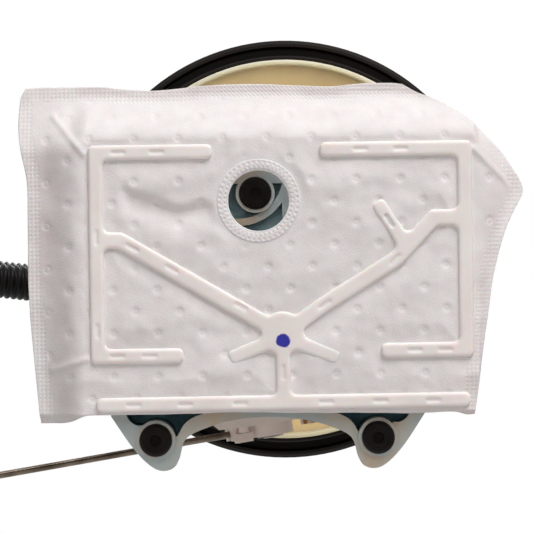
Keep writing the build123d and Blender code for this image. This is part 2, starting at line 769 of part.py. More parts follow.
plug_length, plug_width, plug_height = 12.4, 7.2, 10.5
plug_corner = 1.2
latch_length, latch_width, latch_height, latch_z = 4.0, 1.6, 5.0, 6.5

with BuildPart() as pump_plug:
    # two-way plug pushed down over the pump's terminals
    with Locations((pump_plug_x, pump_plug_y, cap_top)):
        Box(plug_length, plug_width, plug_height, align=ON_FLOOR)
        fillet(pump_plug.edges().filter_by(Axis.Z), plug_corner)
        with Locations((0, -plug_width / 2, latch_z)):
            Box(latch_length, latch_width, latch_height, align=(Align.CENTER, Align.MAX, Align.CENTER))
        for side in (-1, 1):
            with Locations((terminal_pitch / 2 * side, 0, 0)):
                Box(terminal_gauge + 0.4, terminal_width + 0.4, 8, align=ON_FLOOR, mode=Mode.SUBTRACT)
pump_plug.part.label = "pump_plug"
export_step(pump_plug.part, "parts/pump_plug.step")

# ---------------------------------------------------------------- feed line

heading = Vector(cos(radians(hose_heading)), sin(radians(hose_heading)), 0)
fall = heading * cos(radians(hose_fall)) - Vector(0, 0, sin(radians(hose_fall)))
elbow_reach = 12.0
elbow_barb_length = 13.0
elbow_first_ridge = 1.6
elbow_socket_radius = 6.0
elbow_socket_depth = 13.5
elbow_socket_floor = cap_top + 3.2
elbow_arm_radius = 5.0
elbow_crown = 2.0
elbow_centre = Vector(pump_outlet_x, pump_outlet_y, elbow_z)
elbow_axis = Plane(
    origin=elbow_centre,
    x_dir=(-sin(radians(hose_heading)), cos(radians(hose_heading)), 0),
    z_dir=fall,
)

with BuildPart() as pump_elbow:
    # push-on elbow: a socket over the pump's outlet and a barb for the hose
    socket_height = elbow_z + elbow_socket_radius - elbow_socket_floor
    with Locations((pump_outlet_x, pump_outlet_y, elbow_socket_floor)):
        Cylinder(elbow_socket_radius, socket_height, align=ON_FLOOR)
    fillet(pump_elbow.edges().group_by(Axis.Z)[-1], elbow_crown)
    with BuildSketch(elbow_axis):
        Circle(elbow_arm_radius)
    extrude(amount=elbow_reach)
    with BuildSketch(elbow_axis):
        Circle(barb_root_radius)
    extrude(amount=elbow_reach + elbow_barb_length)
    for ridge in range(barb_ridges):
        with BuildSketch(elbow_axis.offset(elbow_reach + elbow_first_ridge + barb_pitch * ridge)):
            Circle(barb_radius)
        extrude(amount=barb_ridge_length, taper=barb_taper)
    with BuildSketch(elbow_axis):
        Circle(barb_bore)
    extrude(amount=elbow_reach + elbow_barb_length, mode=Mode.SUBTRACT)
    with Locations((pump_outlet_x, pump_outlet_y, elbow_socket_floor)):
        Cylinder(pump_outlet_radius + 0.05, elbow_socket_depth, align=ON_FLOOR, mode=Mode.SUBTRACT)
pump_elbow.part.label = "pump_elbow"
export_step(pump_elbow.part, "parts/pump_elbow.step")


def route_radii(points):
    """The largest even fillet for each corner of a route."""
    radii = []
    for before, corner, after in zip(points, points[1:], points[2:]):
        turn = radians((corner - before).get_angle(after - corner))
        shorter = min((corner - before).length, (after - corner).length)
        radii.append(0.45 * shorter / tan(turn / 2))
    return radii


def tube_along(points, radius, bore=0.0):
    """A tube of one section along straight runs joined by tangent arcs."""
    radii = route_radii(points)
    with BuildPart() as tube:
        with BuildLine() as path:
            FilletPolyline(*points, radius=radii)
        start = Plane(origin=path.line @ 0, z_dir=path.line % 0)
        with BuildSketch(start):
            Circle(radius)
            if bore:
                Circle(bore, mode=Mode.SUBTRACT)
        sweep()
    length = sum(edge.length for edge in path.edges())
    ideal = pi * (radius**2 - bore**2) * length
    print("tube", round(length, 1), "mm, volume ratio", round(tube.part.volume / ideal, 4))
    print("  bend radii", [round(r) for r in radii])
    return tube.part


def hose_point(along, z):
    """A point in the upright plane that the hose lies in, measured from the pump's outlet."""
    return Vector(pump_outlet_x, pump_outlet_y, z) + heading * along


hose_start = elbow_centre + fall * elbow_reach
hose_end = Vector(feed_x, feed_y, feed_z) + heading * 9.0
hose_route = [
    hose_start,
    elbow_centre + fall * hose_straight,
    hose_point(73.9, -120.3),
    hose_point(111.7, -117.5),
    hose_point(136.5, -88.8),
    hose_point(134.7, -50.8),
    hose_point(107.2, -25.4),
    hose_point(63.3, feed_z),
    hose_end,
]
feed_hose = tube_along(hose_route, hose_radius, hose_bore)
feed_hose.label = "feed_hose"
export_step(feed_hose, "parts/feed_hose.step")

# ---------------------------------------------------------------- strainer

frame_top = frame_floor + frame_thickness
bag_top = frame_top + bag_thickness
hub_x, hub_y = inlet_x, inlet_y + 0.5

slots_along_x = [(45.8, 25.2), (35.4, 25.2), (-19.1, 25.3), (-29.8, 25.3), (46.6, -29.3), (38.0, -29.3)]
slots_along_x += [(-32.9, -28.6), (-41.1, -28.6), (42.5, -42.4), (28.6, -42.4), (13.9, -42.3)]
slots_along_x += [(-9.1, -42.2), (-23.6, -42.1), (-37.7, -42.1)]
slots_turned = [(42.2, -0.3, 30), (31.7, -6.1, 30), (13.4, -16.4, 30), (-9.0, -16.1, -32), (-28.0, -4.4, -46)]
slots_turned += [(-26.6, 6.0, -57), (2.3, -34.0, 90), (51.8, -22.5, 90), (51.8, 2.5, 90)]

with BuildPart() as strainer_frame:
    # runners on the bag's underside, meeting in a hub below the pump's inlet
    with BuildSketch(Plane.XY.offset(frame_floor)):
        with BuildLine():
            Polyline((28.9, -29.3), (51.8, -29.3), (51.9, 25.2), (20.6, 25.2))
        trace(line_width=bar_width)
        with BuildLine():
            Polyline((-24.0, -28.6), (-46.9, -28.6), (-46.9, 25.3), (-8.2, 25.3))
        trace(line_width=bar_width)
        with BuildLine():
            Line((52.4, -42.4), (-47.6, -42.0))
        trace(line_width=bar_width)
        with BuildLine():
            Line((inlet_x, hub_y), (inlet_x, -42.2))
        trace(line_width=bar_width)
        with BuildLine():
            Polyline((52, 1.7), (45.6, 1.7), (hub_x + 2, hub_y + 1.0))
        trace(line_width=bar_width + 0.4)
        with BuildLine():
            Polyline((hub_x - 2, hub_y + 1.0), (-8.3, -16.5), (-28.3, -4.2), (-38.6, 6.7), (-47, 6.7))
        trace(line_width=bar_width + 0.4)
        with BuildLine():
            Line((-31.2, -1.0), (-23.2, 11.3))
        trace(line_width=bar_width)
        with BuildLine():
            Line((hub_x, hub_y - 1), (16.8, -30.4))
        trace(line_width=bar_width)
        with BuildLine():
            Line((hub_x, hub_y - 1), (-12.8, -30.6))
        trace(line_width=bar_width)
        with Locations((hub_x, hub_y)):
            Circle(hub_pad_radius)
        # round the corners where runners meet
        offset(amount=bar_fillet, kind=Kind.ARC)
        offset(amount=-bar_fillet, kind=Kind.ARC)
        # round the free ends and the outer corners
        offset(amount=-bar_end_round, kind=Kind.ARC)
        offset(amount=bar_end_round, kind=Kind.ARC)
    extrude(amount=frame_thickness)
    chamfer(strainer_frame.edges().group_by(Axis.Z)[0], bar_edge)
    # shallow moulded slots along the runners
    with BuildSketch(Plane.XY.offset(frame_floor)):
        with Locations(*slots_along_x):
            SlotOverall(slot_length, slot_width)
        for x, y, turn in slots_turned:
            with Locations(Location((x, y), turn)):
                SlotOverall(slot_length, slot_width)
    extrude(amount=slot_depth, mode=Mode.SUBTRACT)
strainer_frame.part.label = "strainer_frame"
export_step(strainer_frame.part, "parts/strainer_frame.step")

# edge of the bag: along the runners' outline below, and out to its welded rim above
bag_foot = [(57.0, 29.5), (-34.0, 29.5), (-49.5, 22.0), (-51.5, 14.0), (-50.0, -45.0), (56.5, -45.4)]
bag_rim = [(72.3, 43.2), (-34.5, 42.6), (-57.0, 25.0), (-63.2, 14.0), (-48.8, -46.2), (68.6, -47.2)]
bag_rim_rise = 11.5
bag_skin = 2.0


def bag_tray(lift):
    """The dished underside of the bag, raised by lift."""
    with BuildPart() as tray:
        with BuildSketch(Plane.XY.offset(frame_top + lift)):
            Polygon(*bag_foot, align=None)
        with BuildSketch(Plane.XY.offset(frame_top + lift + bag_rim_rise)):
            Polygon(*bag_rim, align=None)
        loft(ruled=True)
    return tray.part


with BuildPart() as strainer_bag:
    # flat pouch above the runners, with its margins dished up round it
    add(bag_tray(0))
    add(bag_tray(bag_skin), mode=Mode.SUBTRACT)
    with BuildSketch(Plane.XY.offset(frame_top)):
        Polygon(*bag_foot, align=None)
        offset(amount=-1.5, kind=Kind.INTERSECTION)
    extrude(amount=bag_thickness)
    with Locations((bag_hole_x, bag_hole_y, frame_top - 1)):
        Cylinder(bag_hole_radius, 20, align=ON_FLOOR, mode=Mode.SUBTRACT)
strainer_bag.part.label = "strainer_bag"
export_step(strainer_bag.part, "parts/strainer_bag.step")

neck_top = inlet_end + 3.0
neck_radius, neck_bore = 8.2, 4.0
neck_flange_radius, neck_flange_thickness = 11.0, 1.6
neck_web_length, neck_web_gauge, neck_web_height = 3.0, 1.2, 4.2
washer_radius, washer_thickness = 8.4, 0.6

with BuildPart() as strainer_neck:
    # moulded spigot that carries the bag up to the pump's inlet tube
    with Locations((inlet_x, inlet_y, bag_top)):
        Cylinder(neck_flange_radius, neck_flange_thickness, align=ON_FLOOR)
        Cylinder(neck_radius, neck_top - bag_top, align=ON_FLOOR)
        with PolarLocations(neck_radius + 0.8, 6):
            Box(neck_web_length, neck_web_gauge, neck_web_height, align=ON_FLOOR)
        Cylinder(neck_bore, 30, mode=Mode.SUBTRACT)
    with Locations((inlet_x, inlet_y, inlet_end)):
        Cylinder(inlet_radius + 0.05, 20, align=ON_FLOOR, mode=Mode.SUBTRACT)
strainer_neck.part.label = "strainer_neck"
export_step(strainer_neck.part, "parts/strainer_neck.step")

with BuildPart() as strainer_clip:
    # push-on star washer that grips the inlet tube above the neck
    with BuildSketch(Plane((inlet_x, inlet_y, neck_top))):
        Circle(washer_radius)
        Circle(inlet_radius, mode=Mode.SUBTRACT)
        with PolarLocations(inlet_radius + 0.6, 8):
            Rectangle(1.8, 0.8, mode=Mode.SUBTRACT)
    extrude(amount=washer_thickness)
strainer_clip.part.label = "strainer_clip"
export_step(strainer_clip.part, "parts/strainer_clip.step")

# ---------------------------------------------------------------- level sensor

pivot_radius = 2.2
pivot_gap = 0.05
hub_radius = 7.0
hub_back, hub_front = 0.4, 4.2
wiper_angle = 115.0
upper_travel = 62.0
stop_radius = 1.5
stop_reach = 10.0
finger_half = 3.0
finger_length = 13.0
wire_start = 5.5
block_length, block_height, block_rise = 11.8, 14.0, 1.8
block_centre = (-15.3, -9.0)
card_length, card_height, card_thickness = 21.0, 11.0, 0.7
card_centre = (-7.5, 9.2)
card_gap = 0.4
side_clip_width, side_clip_height, side_clip_depth = 1.6, 6.0, 2.4
lever_length, lever_width, lever_back = 15.6, 4.4, 1.3
pivot_washer_radius, pivot_washer_thickness = 3.9, 0.5


def stop_place(arm_angle, side):
    """Centre of a stop lug that the arm's finger meets at arm_angle, on the given side."""
    across = side * (finger_half + stop_radius + 0.15)
    turn = radians(arm_angle)
    return (
        stop_reach * cos(turn) - across * sin(turn),
        stop_reach * sin(turn) + across * cos(turn),
    )


with BuildPart() as sensor_body:
    # moulded plate with the pivot post, two stops, a terminal block and a card recess
    with BuildSketch(sensor_plane):
        with BuildLine():
            Polyline(
                (-21.2, -16), (10.5, -16), (17.2, -10), (17.2, 12), (13, 16), (-21.2, 16), close=True
            )
        make_face()
        fillet(vertices().sort_by(Axis.X)[0:2], 2.0)
    extrude(amount=-sensor_thickness)
    with BuildSketch(sensor_plane):
        with Locations(block_centre):
            Rectangle(block_length, block_height)
    extrude(amount=block_rise)
    with BuildSketch(sensor_plane):
        Circle(pivot_radius)
    extrude(amount=hub_front + 0.9)
    with BuildSketch(sensor_plane):
        with Locations(stop_place(-arm_droop, -1), stop_place(upper_travel - arm_droop, 1)):
            Circle(stop_radius)
    extrude(amount=wire_offset - 0.2)
    with BuildSketch(sensor_plane):
        with Locations(card_centre):
            Rectangle(card_length + card_gap, card_height + card_gap)
    extrude(amount=-card_thickness, mode=Mode.SUBTRACT)
    # right-hand edge bevelled back towards the carrier
    edge = sensor_body.edges().filter_by(Axis.Z).sort_by(Axis.X)[-2:].sort_by(Axis.Y)[0]
    chamfer(edge, 2.6)
    # clips over the carrier's pad
    for height in (-10.0, 8.0):
        with BuildSketch(sensor_plane.offset(-sensor_thickness)):
            with Locations((17.4, height)):
                Rectangle(side_clip_width, side_clip_height)
        extrude(amount=-side_clip_depth)
sensor_body.part.label = "sensor_body"
export_step(sensor_body.part, "parts/sensor_body.step")

with BuildPart() as sensor_card:
    # ceramic card in its recess, which carries the resistor track
    with BuildSketch(sensor_plane.offset(-card_thickness)):
        with Locations(card_centre):
            Rectangle(card_length, card_height)
    extrude(amount=card_thickness)
sensor_card.part.label = "sensor_card"
export_step(sensor_card.part, "parts/sensor_card.step")

with BuildPart() as sensor_contacts:
    # spring contacts that stand out of the terminal block's lower face
    for place, width in ((-10.7, 1.1), (-14.6, 4.2)):
        with BuildSketch(sensor_plane.offset(-0.6)):
            with Locations((place, -17.2)):
                Rectangle(width, 2.4)
        extrude(amount=2.2)
sensor_contacts.part.label = "sensor_contacts"
export_step(sensor_contacts.part, "parts/sensor_contacts.step")

droop = radians(arm_droop)
arm_plane = Plane(
    origin=sensor_plane.origin,
    x_dir=sensor_plane.x_dir * cos(droop) - sensor_plane.y_dir * sin(droop),
    z_dir=sensor_plane.z_dir,
)

with BuildPart() as arm_carriage:
    # hub on the pivot post, a finger with two clips for the wire, and the wiper's lever
    with BuildSketch(arm_plane.offset(hub_back)):
        Circle(hub_radius)
        with Locations((finger_length / 2, 0)):
            Rectangle(finger_length, 2 * finger_half)
    extrude(amount=hub_front - hub_back)
    with BuildSketch(arm_plane.offset(lever_back)):
        with Locations(Location((0, 0), wiper_angle)):
            with Locations((lever_length / 2, 0)):
                Rectangle(lever_length, lever_width)
    extrude(amount=hub_front - lever_back)
    for start, length, rise in ((0.6, 4.2, 0.9), (7.4, 4.8, 1.9)):
        with BuildSketch(arm_plane.offset(wire_offset)):
            with Locations((start + length / 2, -finger_half - 0.2)):
                Rectangle(length, 3.2)
        extrude(amount=hub_front - wire_offset + rise - 1.2)
    with BuildSketch(arm_plane.offset(hub_back)):
        Circle(pivot_radius + pivot_gap)
    extrude(amount=20, mode=Mode.SUBTRACT)
    with BuildSketch(arm_plane.offset(wire_offset)):
        with Locations((12, 0)):
            Rectangle(13, 2 * wire_radius)
    extrude(amount=10, mode=Mode.SUBTRACT)
    seat_start = arm_plane.from_local_coords((wire_start, 0, wire_offset))
    wire_seat = Plane(origin=seat_start, z_dir=arm_plane.x_dir)
    with BuildSketch(wire_seat):
        Circle(wire_radius)
    extrude(amount=20, mode=Mode.SUBTRACT)
arm_carriage.part.label = "arm_carriage"
export_step(arm_carriage.part, "parts/arm_carriage.step")

with BuildPart() as pivot_washer:
    # push-on washer that keeps the carriage on its post
    with BuildSketch(sensor_plane.offset(hub_front + 0.1)):
        Circle(pivot_washer_radius)
        Circle(pivot_radius, mode=Mode.SUBTRACT)
    extrude(amount=pivot_washer_thickness)
pivot_washer.part.label = "pivot_washer"
export_step(pivot_washer.part, "parts/pivot_washer.step")

with BuildPart() as wiper:
    # two-fingered spring leaf under the lever, whose tips run on the card
    with BuildSketch(arm_plane.offset(0.9)):
        with Locations(Location((0, 0), wiper_angle)):
            with Locations((11.6, 0)):
                Rectangle(6.6, 3.6)
            with Locations((13.4, 0)):
                Rectangle(3.4, 0.6, mode=Mode.SUBTRACT)
    extrude(amount=0.4)
    with BuildSketch(arm_plane.offset(0.1)):
        with Locations(Location((0, 0), wiper_angle)):
            with Locations((13.6, 1.05), (13.6, -1.05)):
                Circle(0.55)
    extrude(amount=0.8)
wiper.part.label = "wiper"
export_step(wiper.part, "parts/wiper.step")

float_thickness = 24.0
float_back = wire_offset - 3.6
wire_bend = 3.5
wire_tail = 3.2
float_clip_radius, float_clip_thickness = 3.6, 0.7

with BuildPart() as float_wire:
    # straight arm with its far end turned square through the float
    with BuildLine() as wire_line:
        FilletPolyline(
            arm_plane.from_local_coords((wire_start, 0, wire_offset)),
            arm_plane.from_local_coords((arm_length, 0, wire_offset)),
            arm_plane.from_local_coords((arm_length, 0, float_back - float_thickness - wire_tail)),
            radius=wire_bend,
        )
    with BuildSketch(Plane(origin=wire_line.line @ 0, z_dir=wire_line.line % 0)):
        Circle(wire_radius)
    sweep()
float_wire.part.label = "float_wire"
export_step(float_wire.part, "parts/float_wire.step")

with BuildPart() as level_float:
    # closed-cell float with one rounded back, bored for the wire
    with BuildSketch(arm_plane.offset(float_back - float_thickness)):
        with Locations((arm_length, 0)):
            RectangleRounded(float_length, float_width, float_corner)
    extrude(amount=float_thickness)
    fillet(level_float.faces().sort_by(Axis(arm_plane.origin, arm_plane.z_dir))[-1].edges(), float_edge)
    fillet(level_float.faces().sort_by(Axis(arm_plane.origin, arm_plane.z_dir))[0].edges(), float_edge)
    with BuildSketch(arm_plane.offset(float_back - float_thickness)):
        with Locations((arm_length, 0)):
            Circle(wire_radius + float_gap)
    extrude(amount=float_thickness, mode=Mode.SUBTRACT)
level_float.part.label = "level_float"
export_step(level_float.part, "parts/level_float.step")

with BuildPart() as float_clip:
    # push-on clip at the wire's end
    with BuildSketch(arm_plane.offset(float_back - float_thickness - 1.4)):
        with Locations((arm_length, 0)):
            Circle(float_clip_radius)
            Circle(wire_radius, mode=Mode.SUBTRACT)
    extrude(amount=float_clip_thickness)
float_clip.part.label = "float_clip"
export_step(float_clip.part, "parts/float_clip.step")

# ---------------------------------------------------------------- leads

lead_radius = 0.9
lead_drop = 11.0
pump_lead_spread = 3.6
sensor_lead_spread = 3.0
blade_x = [plug_x + (blade - 1.5) * blade_pitch for blade in range(4)]
blade_y = plug_y + blade_offset


def lead_from_blade(blade, *points):
    """One lead that starts at a blade's crimp tab and runs through the points."""
    tab = Vector(blade_x[blade], blade_y, blade_floor)
    below = tab - Vector(0, 0, lead_drop)
    return tube_along([tab, below] + [Vector(*point) for point in points], lead_radius)


pump_leads = Compound(
    children=[
        lead_from_blade(
            2 + side,
            (blade_x[2 + side] + 4, 14, -38),
            (-2.0 + pump_lead_spread * side, -4, -47),
            (-2.0 + pump_lead_spread * side, -22, -50),
            (-1.2 + pump_lead_spread * side, -31.5, -58),
            (-0.8 + pump_lead_spread * side, -31.5, cap_top + plug_height),
        )
        for side in (0, 1)
    ]
)
pump_leads.label = "pump_leads"
export_step(pump_leads, "parts/pump_leads.step")

sensor_leads = Compound(
    children=[
        lead_from_blade(
            side,
            (-13.5 + sensor_lead_spread * side, 17, -35),
            (-11.5 + sensor_lead_spread * side, -4, -41),
            (-12.5 + sensor_lead_spread * side, -26, -46),
            (-11.5 + sensor_lead_spread * side, -42, -58),
            (-10.3 + sensor_lead_spread * side, -47.8, -72),
            (-10.3 + sensor_lead_spread * side, -47.8, sensor_z + 16),
        )
        for side in (0, 1)
    ]
)
sensor_leads.label = "sensor_leads"
export_step(sensor_leads, "parts/sensor_leads.step")
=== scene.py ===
import json
from math import cos, exp, hypot, pi, radians, sin, tau

import bmesh
import bpy
from mathutils import Matrix, Vector, noise


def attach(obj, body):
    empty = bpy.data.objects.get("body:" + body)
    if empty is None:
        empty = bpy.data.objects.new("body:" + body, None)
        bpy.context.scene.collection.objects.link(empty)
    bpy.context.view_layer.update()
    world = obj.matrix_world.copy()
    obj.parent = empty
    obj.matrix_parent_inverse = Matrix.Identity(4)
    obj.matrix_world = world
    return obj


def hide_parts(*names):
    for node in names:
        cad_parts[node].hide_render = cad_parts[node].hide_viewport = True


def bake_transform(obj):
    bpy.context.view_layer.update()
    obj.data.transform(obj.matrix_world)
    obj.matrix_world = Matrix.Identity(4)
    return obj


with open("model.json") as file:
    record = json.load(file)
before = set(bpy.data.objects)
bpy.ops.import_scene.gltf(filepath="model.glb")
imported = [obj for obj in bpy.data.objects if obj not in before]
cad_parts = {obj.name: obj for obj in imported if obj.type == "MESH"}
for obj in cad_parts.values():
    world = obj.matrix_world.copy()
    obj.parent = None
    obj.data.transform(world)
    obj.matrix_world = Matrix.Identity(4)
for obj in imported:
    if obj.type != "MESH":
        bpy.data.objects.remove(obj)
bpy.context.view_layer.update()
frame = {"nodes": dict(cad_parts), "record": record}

MM = 0.001
nodes = frame["nodes"]


def mm(x, y, z):
    """A point of the row frame, given in millimetres."""
    return Vector((x, y, z)) * MM


# ---------------------------------------------------------------- camera, light and stage

SENSOR_WIDTH = 36.0
LENS = 177.0
CAMERA_PLACE = (6.4, -5.75, -885.0)
CAMERA_ROLL = 0.0139
FLOOR_DEPTH = -2.6
FLOOR_HALF = 14.0


def add_camera():
    """Looks straight up the module's axis, with -X to the right and +Y up."""
    data = bpy.data.cameras.new("camera")
    data.sensor_width = SENSOR_WIDTH
    data.lens = LENS
    data.clip_end = 100.0
    camera = bpy.data.objects.new("camera", data)
    bpy.context.scene.collection.objects.link(camera)
    c, s = cos(CAMERA_ROLL), sin(CAMERA_ROLL)
    right, up, back = Vector((-c, -s, 0)), Vector((-s, c, 0)), Vector((0, 0, -1))
    turn = Matrix((right, up, back)).transposed().to_4x4()
    camera.matrix_world = Matrix.Translation(mm(*CAMERA_PLACE)) @ turn
    bpy.context.scene.camera = camera


def add_area_light(name, place, target, size, power):
    """A soft square lamp at a point in metres, aimed at another."""
    data = bpy.data.lights.new(name, "AREA")
    data.size = size
    data.energy = power
    lamp = bpy.data.objects.new(name, data)
    bpy.context.scene.collection.objects.link(lamp)
    lamp.location = place
    aim = Vector(target) - Vector(place)
    lamp.rotation_euler = aim.to_track_quat("-Z", "Y").to_euler()


def seen_rays(tree):
    """1 for camera, glossy and transmission rays, which are the ones that show the background."""
    path = tree.nodes.new("ShaderNodeLightPath")
    first = tree.nodes.new("ShaderNodeMath")
    first.operation = "MAXIMUM"
    tree.links.new(path.outputs["Is Camera Ray"], first.inputs[0])
    tree.links.new(path.outputs["Is Glossy Ray"], first.inputs[1])
    second = tree.nodes.new("ShaderNodeMath")
    second.operation = "MAXIMUM"
    tree.links.new(first.outputs[0], second.inputs[0])
    tree.links.new(path.outputs["Is Transmission Ray"], second.inputs[1])
    return second.outputs[0]


WORLD_FILL = 0.19
FILL_TINT = (1.0, 0.87, 0.79, 1)


def set_world():
    """White where it is seen, and a plain even fill where it lights the object."""
    world = bpy.data.worlds.new("studio")
    bpy.context.scene.world = world
    world.use_nodes = True
    tree = world.node_tree
    tree.nodes.clear()
    fill = tree.nodes.new("ShaderNodeBackground")
    fill.inputs["Strength"].default_value = WORLD_FILL
    fill.inputs["Color"].default_value = FILL_TINT
    white = tree.nodes.new("ShaderNodeBackground")
    white.inputs["Color"].default_value = (1, 1, 1, 1)
    white.inputs["Strength"].default_value = 1.0
    mix = tree.nodes.new("ShaderNodeMixShader")
    out = tree.nodes.new("ShaderNodeOutputWorld")
    tree.links.new(seen_rays(tree), mix.inputs[0])
    tree.links.new(fill.outputs[0], mix.inputs[1])
    tree.links.new(white.outputs[0], mix.inputs[2])
    tree.links.new(mix.outputs[0], out.inputs["Surface"])


FLOOR_TONE, FLOOR_ROUGHNESS = (0.86, 0.86, 0.86, 1), 0.9
FLOOR_GLOW, FLOOR_GLOW_TONE = 0.5, (1, 0.99, 0.98, 1)


def add_floor():
    """A pale floor, below every camera that looks up at the module; it looks paler than the lamps make it."""
    half = FLOOR_HALF
    mesh = bpy.data.meshes.new("floor")
    corners = [(-half, -half), (half, -half), (half, half), (-half, half)]
    mesh.from_pydata([(x, y, FLOOR_DEPTH) for x, y in corners], [], [(0, 1, 2, 3)])
    floor = bpy.data.objects.new("floor", mesh)
    bpy.context.scene.collection.objects.link(floor)
    material = bpy.data.materials.new("floor")
    material.use_nodes = True
    shader = material.node_tree.nodes["Principled BSDF"]
    shader.inputs["Base Color"].default_value = FLOOR_TONE
    shader.inputs["Roughness"].default_value = FLOOR_ROUGHNESS
    shader.inputs["Emission Color"].default_value = FLOOR_GLOW_TONE
    pale = material.node_tree.nodes.new("ShaderNodeMath")
    pale.operation = "MULTIPLY"
    pale.inputs[1].default_value = FLOOR_GLOW
    material.node_tree.links.new(seen_rays(material.node_tree), pale.inputs[0])
    material.node_tree.links.new(pale.outputs[0], shader.inputs["Emission Strength"])
    floor.data.materials.append(material)


add_camera()
set_world()
add_floor()
add_area_light("key", (-0.4, 1.2, -0.75), (0, 0, -0.15), 0.75, 18.0)
add_area_light("fill", (-0.05, 0.34, -1.4), (0, 0, -0.1), 0.4, 1.9)
add_area_light("low", (0.15, -1.1, -0.75), (0, -0.03, -0.15), 0.6, 3.4)
add_area_light("top", (-0.3, 0.5, 1.2), (0, 0, -0.05), 1.0, 18.0)

# ---------------------------------------------------------------- materials


def new_node(tree, kind, **settings):
    """A shader node of one kind, with its settings."""
    node = tree.nodes.new(kind)
    for name, value in settings.items():
        setattr(node, name, value)
    return node


def noise_field(tree, scale, detail=4.0, stretch=(1, 1, 1)):
    """Noise over the object's own coordinates, scale in cycles per metre."""
    place = new_node(tree, "ShaderNodeTexCoord")
    mapping = new_node(tree, "ShaderNodeMapping")
    mapping.inputs["Scale"].default_value = stretch
    field = new_node(tree, "ShaderNodeTexNoise")
    field.inputs["Scale"].default_value = scale
    field.inputs["Detail"].default_value = detail
    tree.links.new(place.outputs["Object"], mapping.inputs["Vector"])
    tree.links.new(mapping.outputs[0], field.inputs["Vector"])
    return field


def two_tone(tree, field, dark, light, low=0.35, high=0.65):
    """A colour that follows a noise field between two tones."""
    ramp = new_node(tree, "ShaderNodeValToRGB")
    ramp.color_ramp.elements[0].position = low
    ramp.color_ramp.elements[0].color = (*dark, 1)
    ramp.color_ramp.elements[1].position = high
    ramp.color_ramp.elements[1].color = (*light, 1)
    tree.links.new(field.outputs["Fac"], ramp.inputs["Fac"])
    return ramp.outputs["Color"]


def linear(*colour):
    """An sRGB colour of 0 to 255 as linear values."""
    return tuple(((v / 255 + 0.055) / 1.055) ** 2.4 if v > 10 else v / 255 / 12.92 for v in colour)


def finish_of(
    name,
    dark,
    light,
    rough=(0.4, 0.55),
    metal=0.0,
    blotch=120.0,
    grain=1500.0,
    relief=0.03,
    stretch=(1, 1, 1),
    subsurface=0.0,
    sheen=0.0,
    shine=0.5,
):
    """A procedural finish: blotches between two sRGB tones, fine relief in mm, and uneven gloss."""
    material = bpy.data.materials.new(name)
    material.use_nodes = True
    tree = material.node_tree
    shader = tree.nodes["Principled BSDF"]
    shader.inputs["Metallic"].default_value = metal
    shader.inputs["Subsurface Weight"].default_value = subsurface
    shader.inputs["Subsurface Scale"].default_value = 0.002
    shader.inputs["Sheen Weight"].default_value = sheen
    shader.inputs["Specular IOR Level"].default_value = shine
    colour = two_tone(tree, noise_field(tree, blotch), linear(*dark), linear(*light))
    tree.links.new(colour, shader.inputs["Base Color"])
    fine = noise_field(tree, grain, 3.0, stretch)
    gloss = new_node(tree, "ShaderNodeMapRange")
    gloss.inputs["To Min"].default_value = rough[0]
    gloss.inputs["To Max"].default_value = rough[1]
    tree.links.new(fine.outputs["Fac"], gloss.inputs["Value"])
    tree.links.new(gloss.outputs[0], shader.inputs["Roughness"])
    bump = new_node(tree, "ShaderNodeBump")
    bump.inputs["Distance"].default_value = relief * MM
    bump.inputs["Strength"].default_value = 0.8
    tree.links.new(fine.outputs["Fac"], bump.inputs["Height"])
    tree.links.new(bump.outputs[0], shader.inputs["Normal"])
    return material


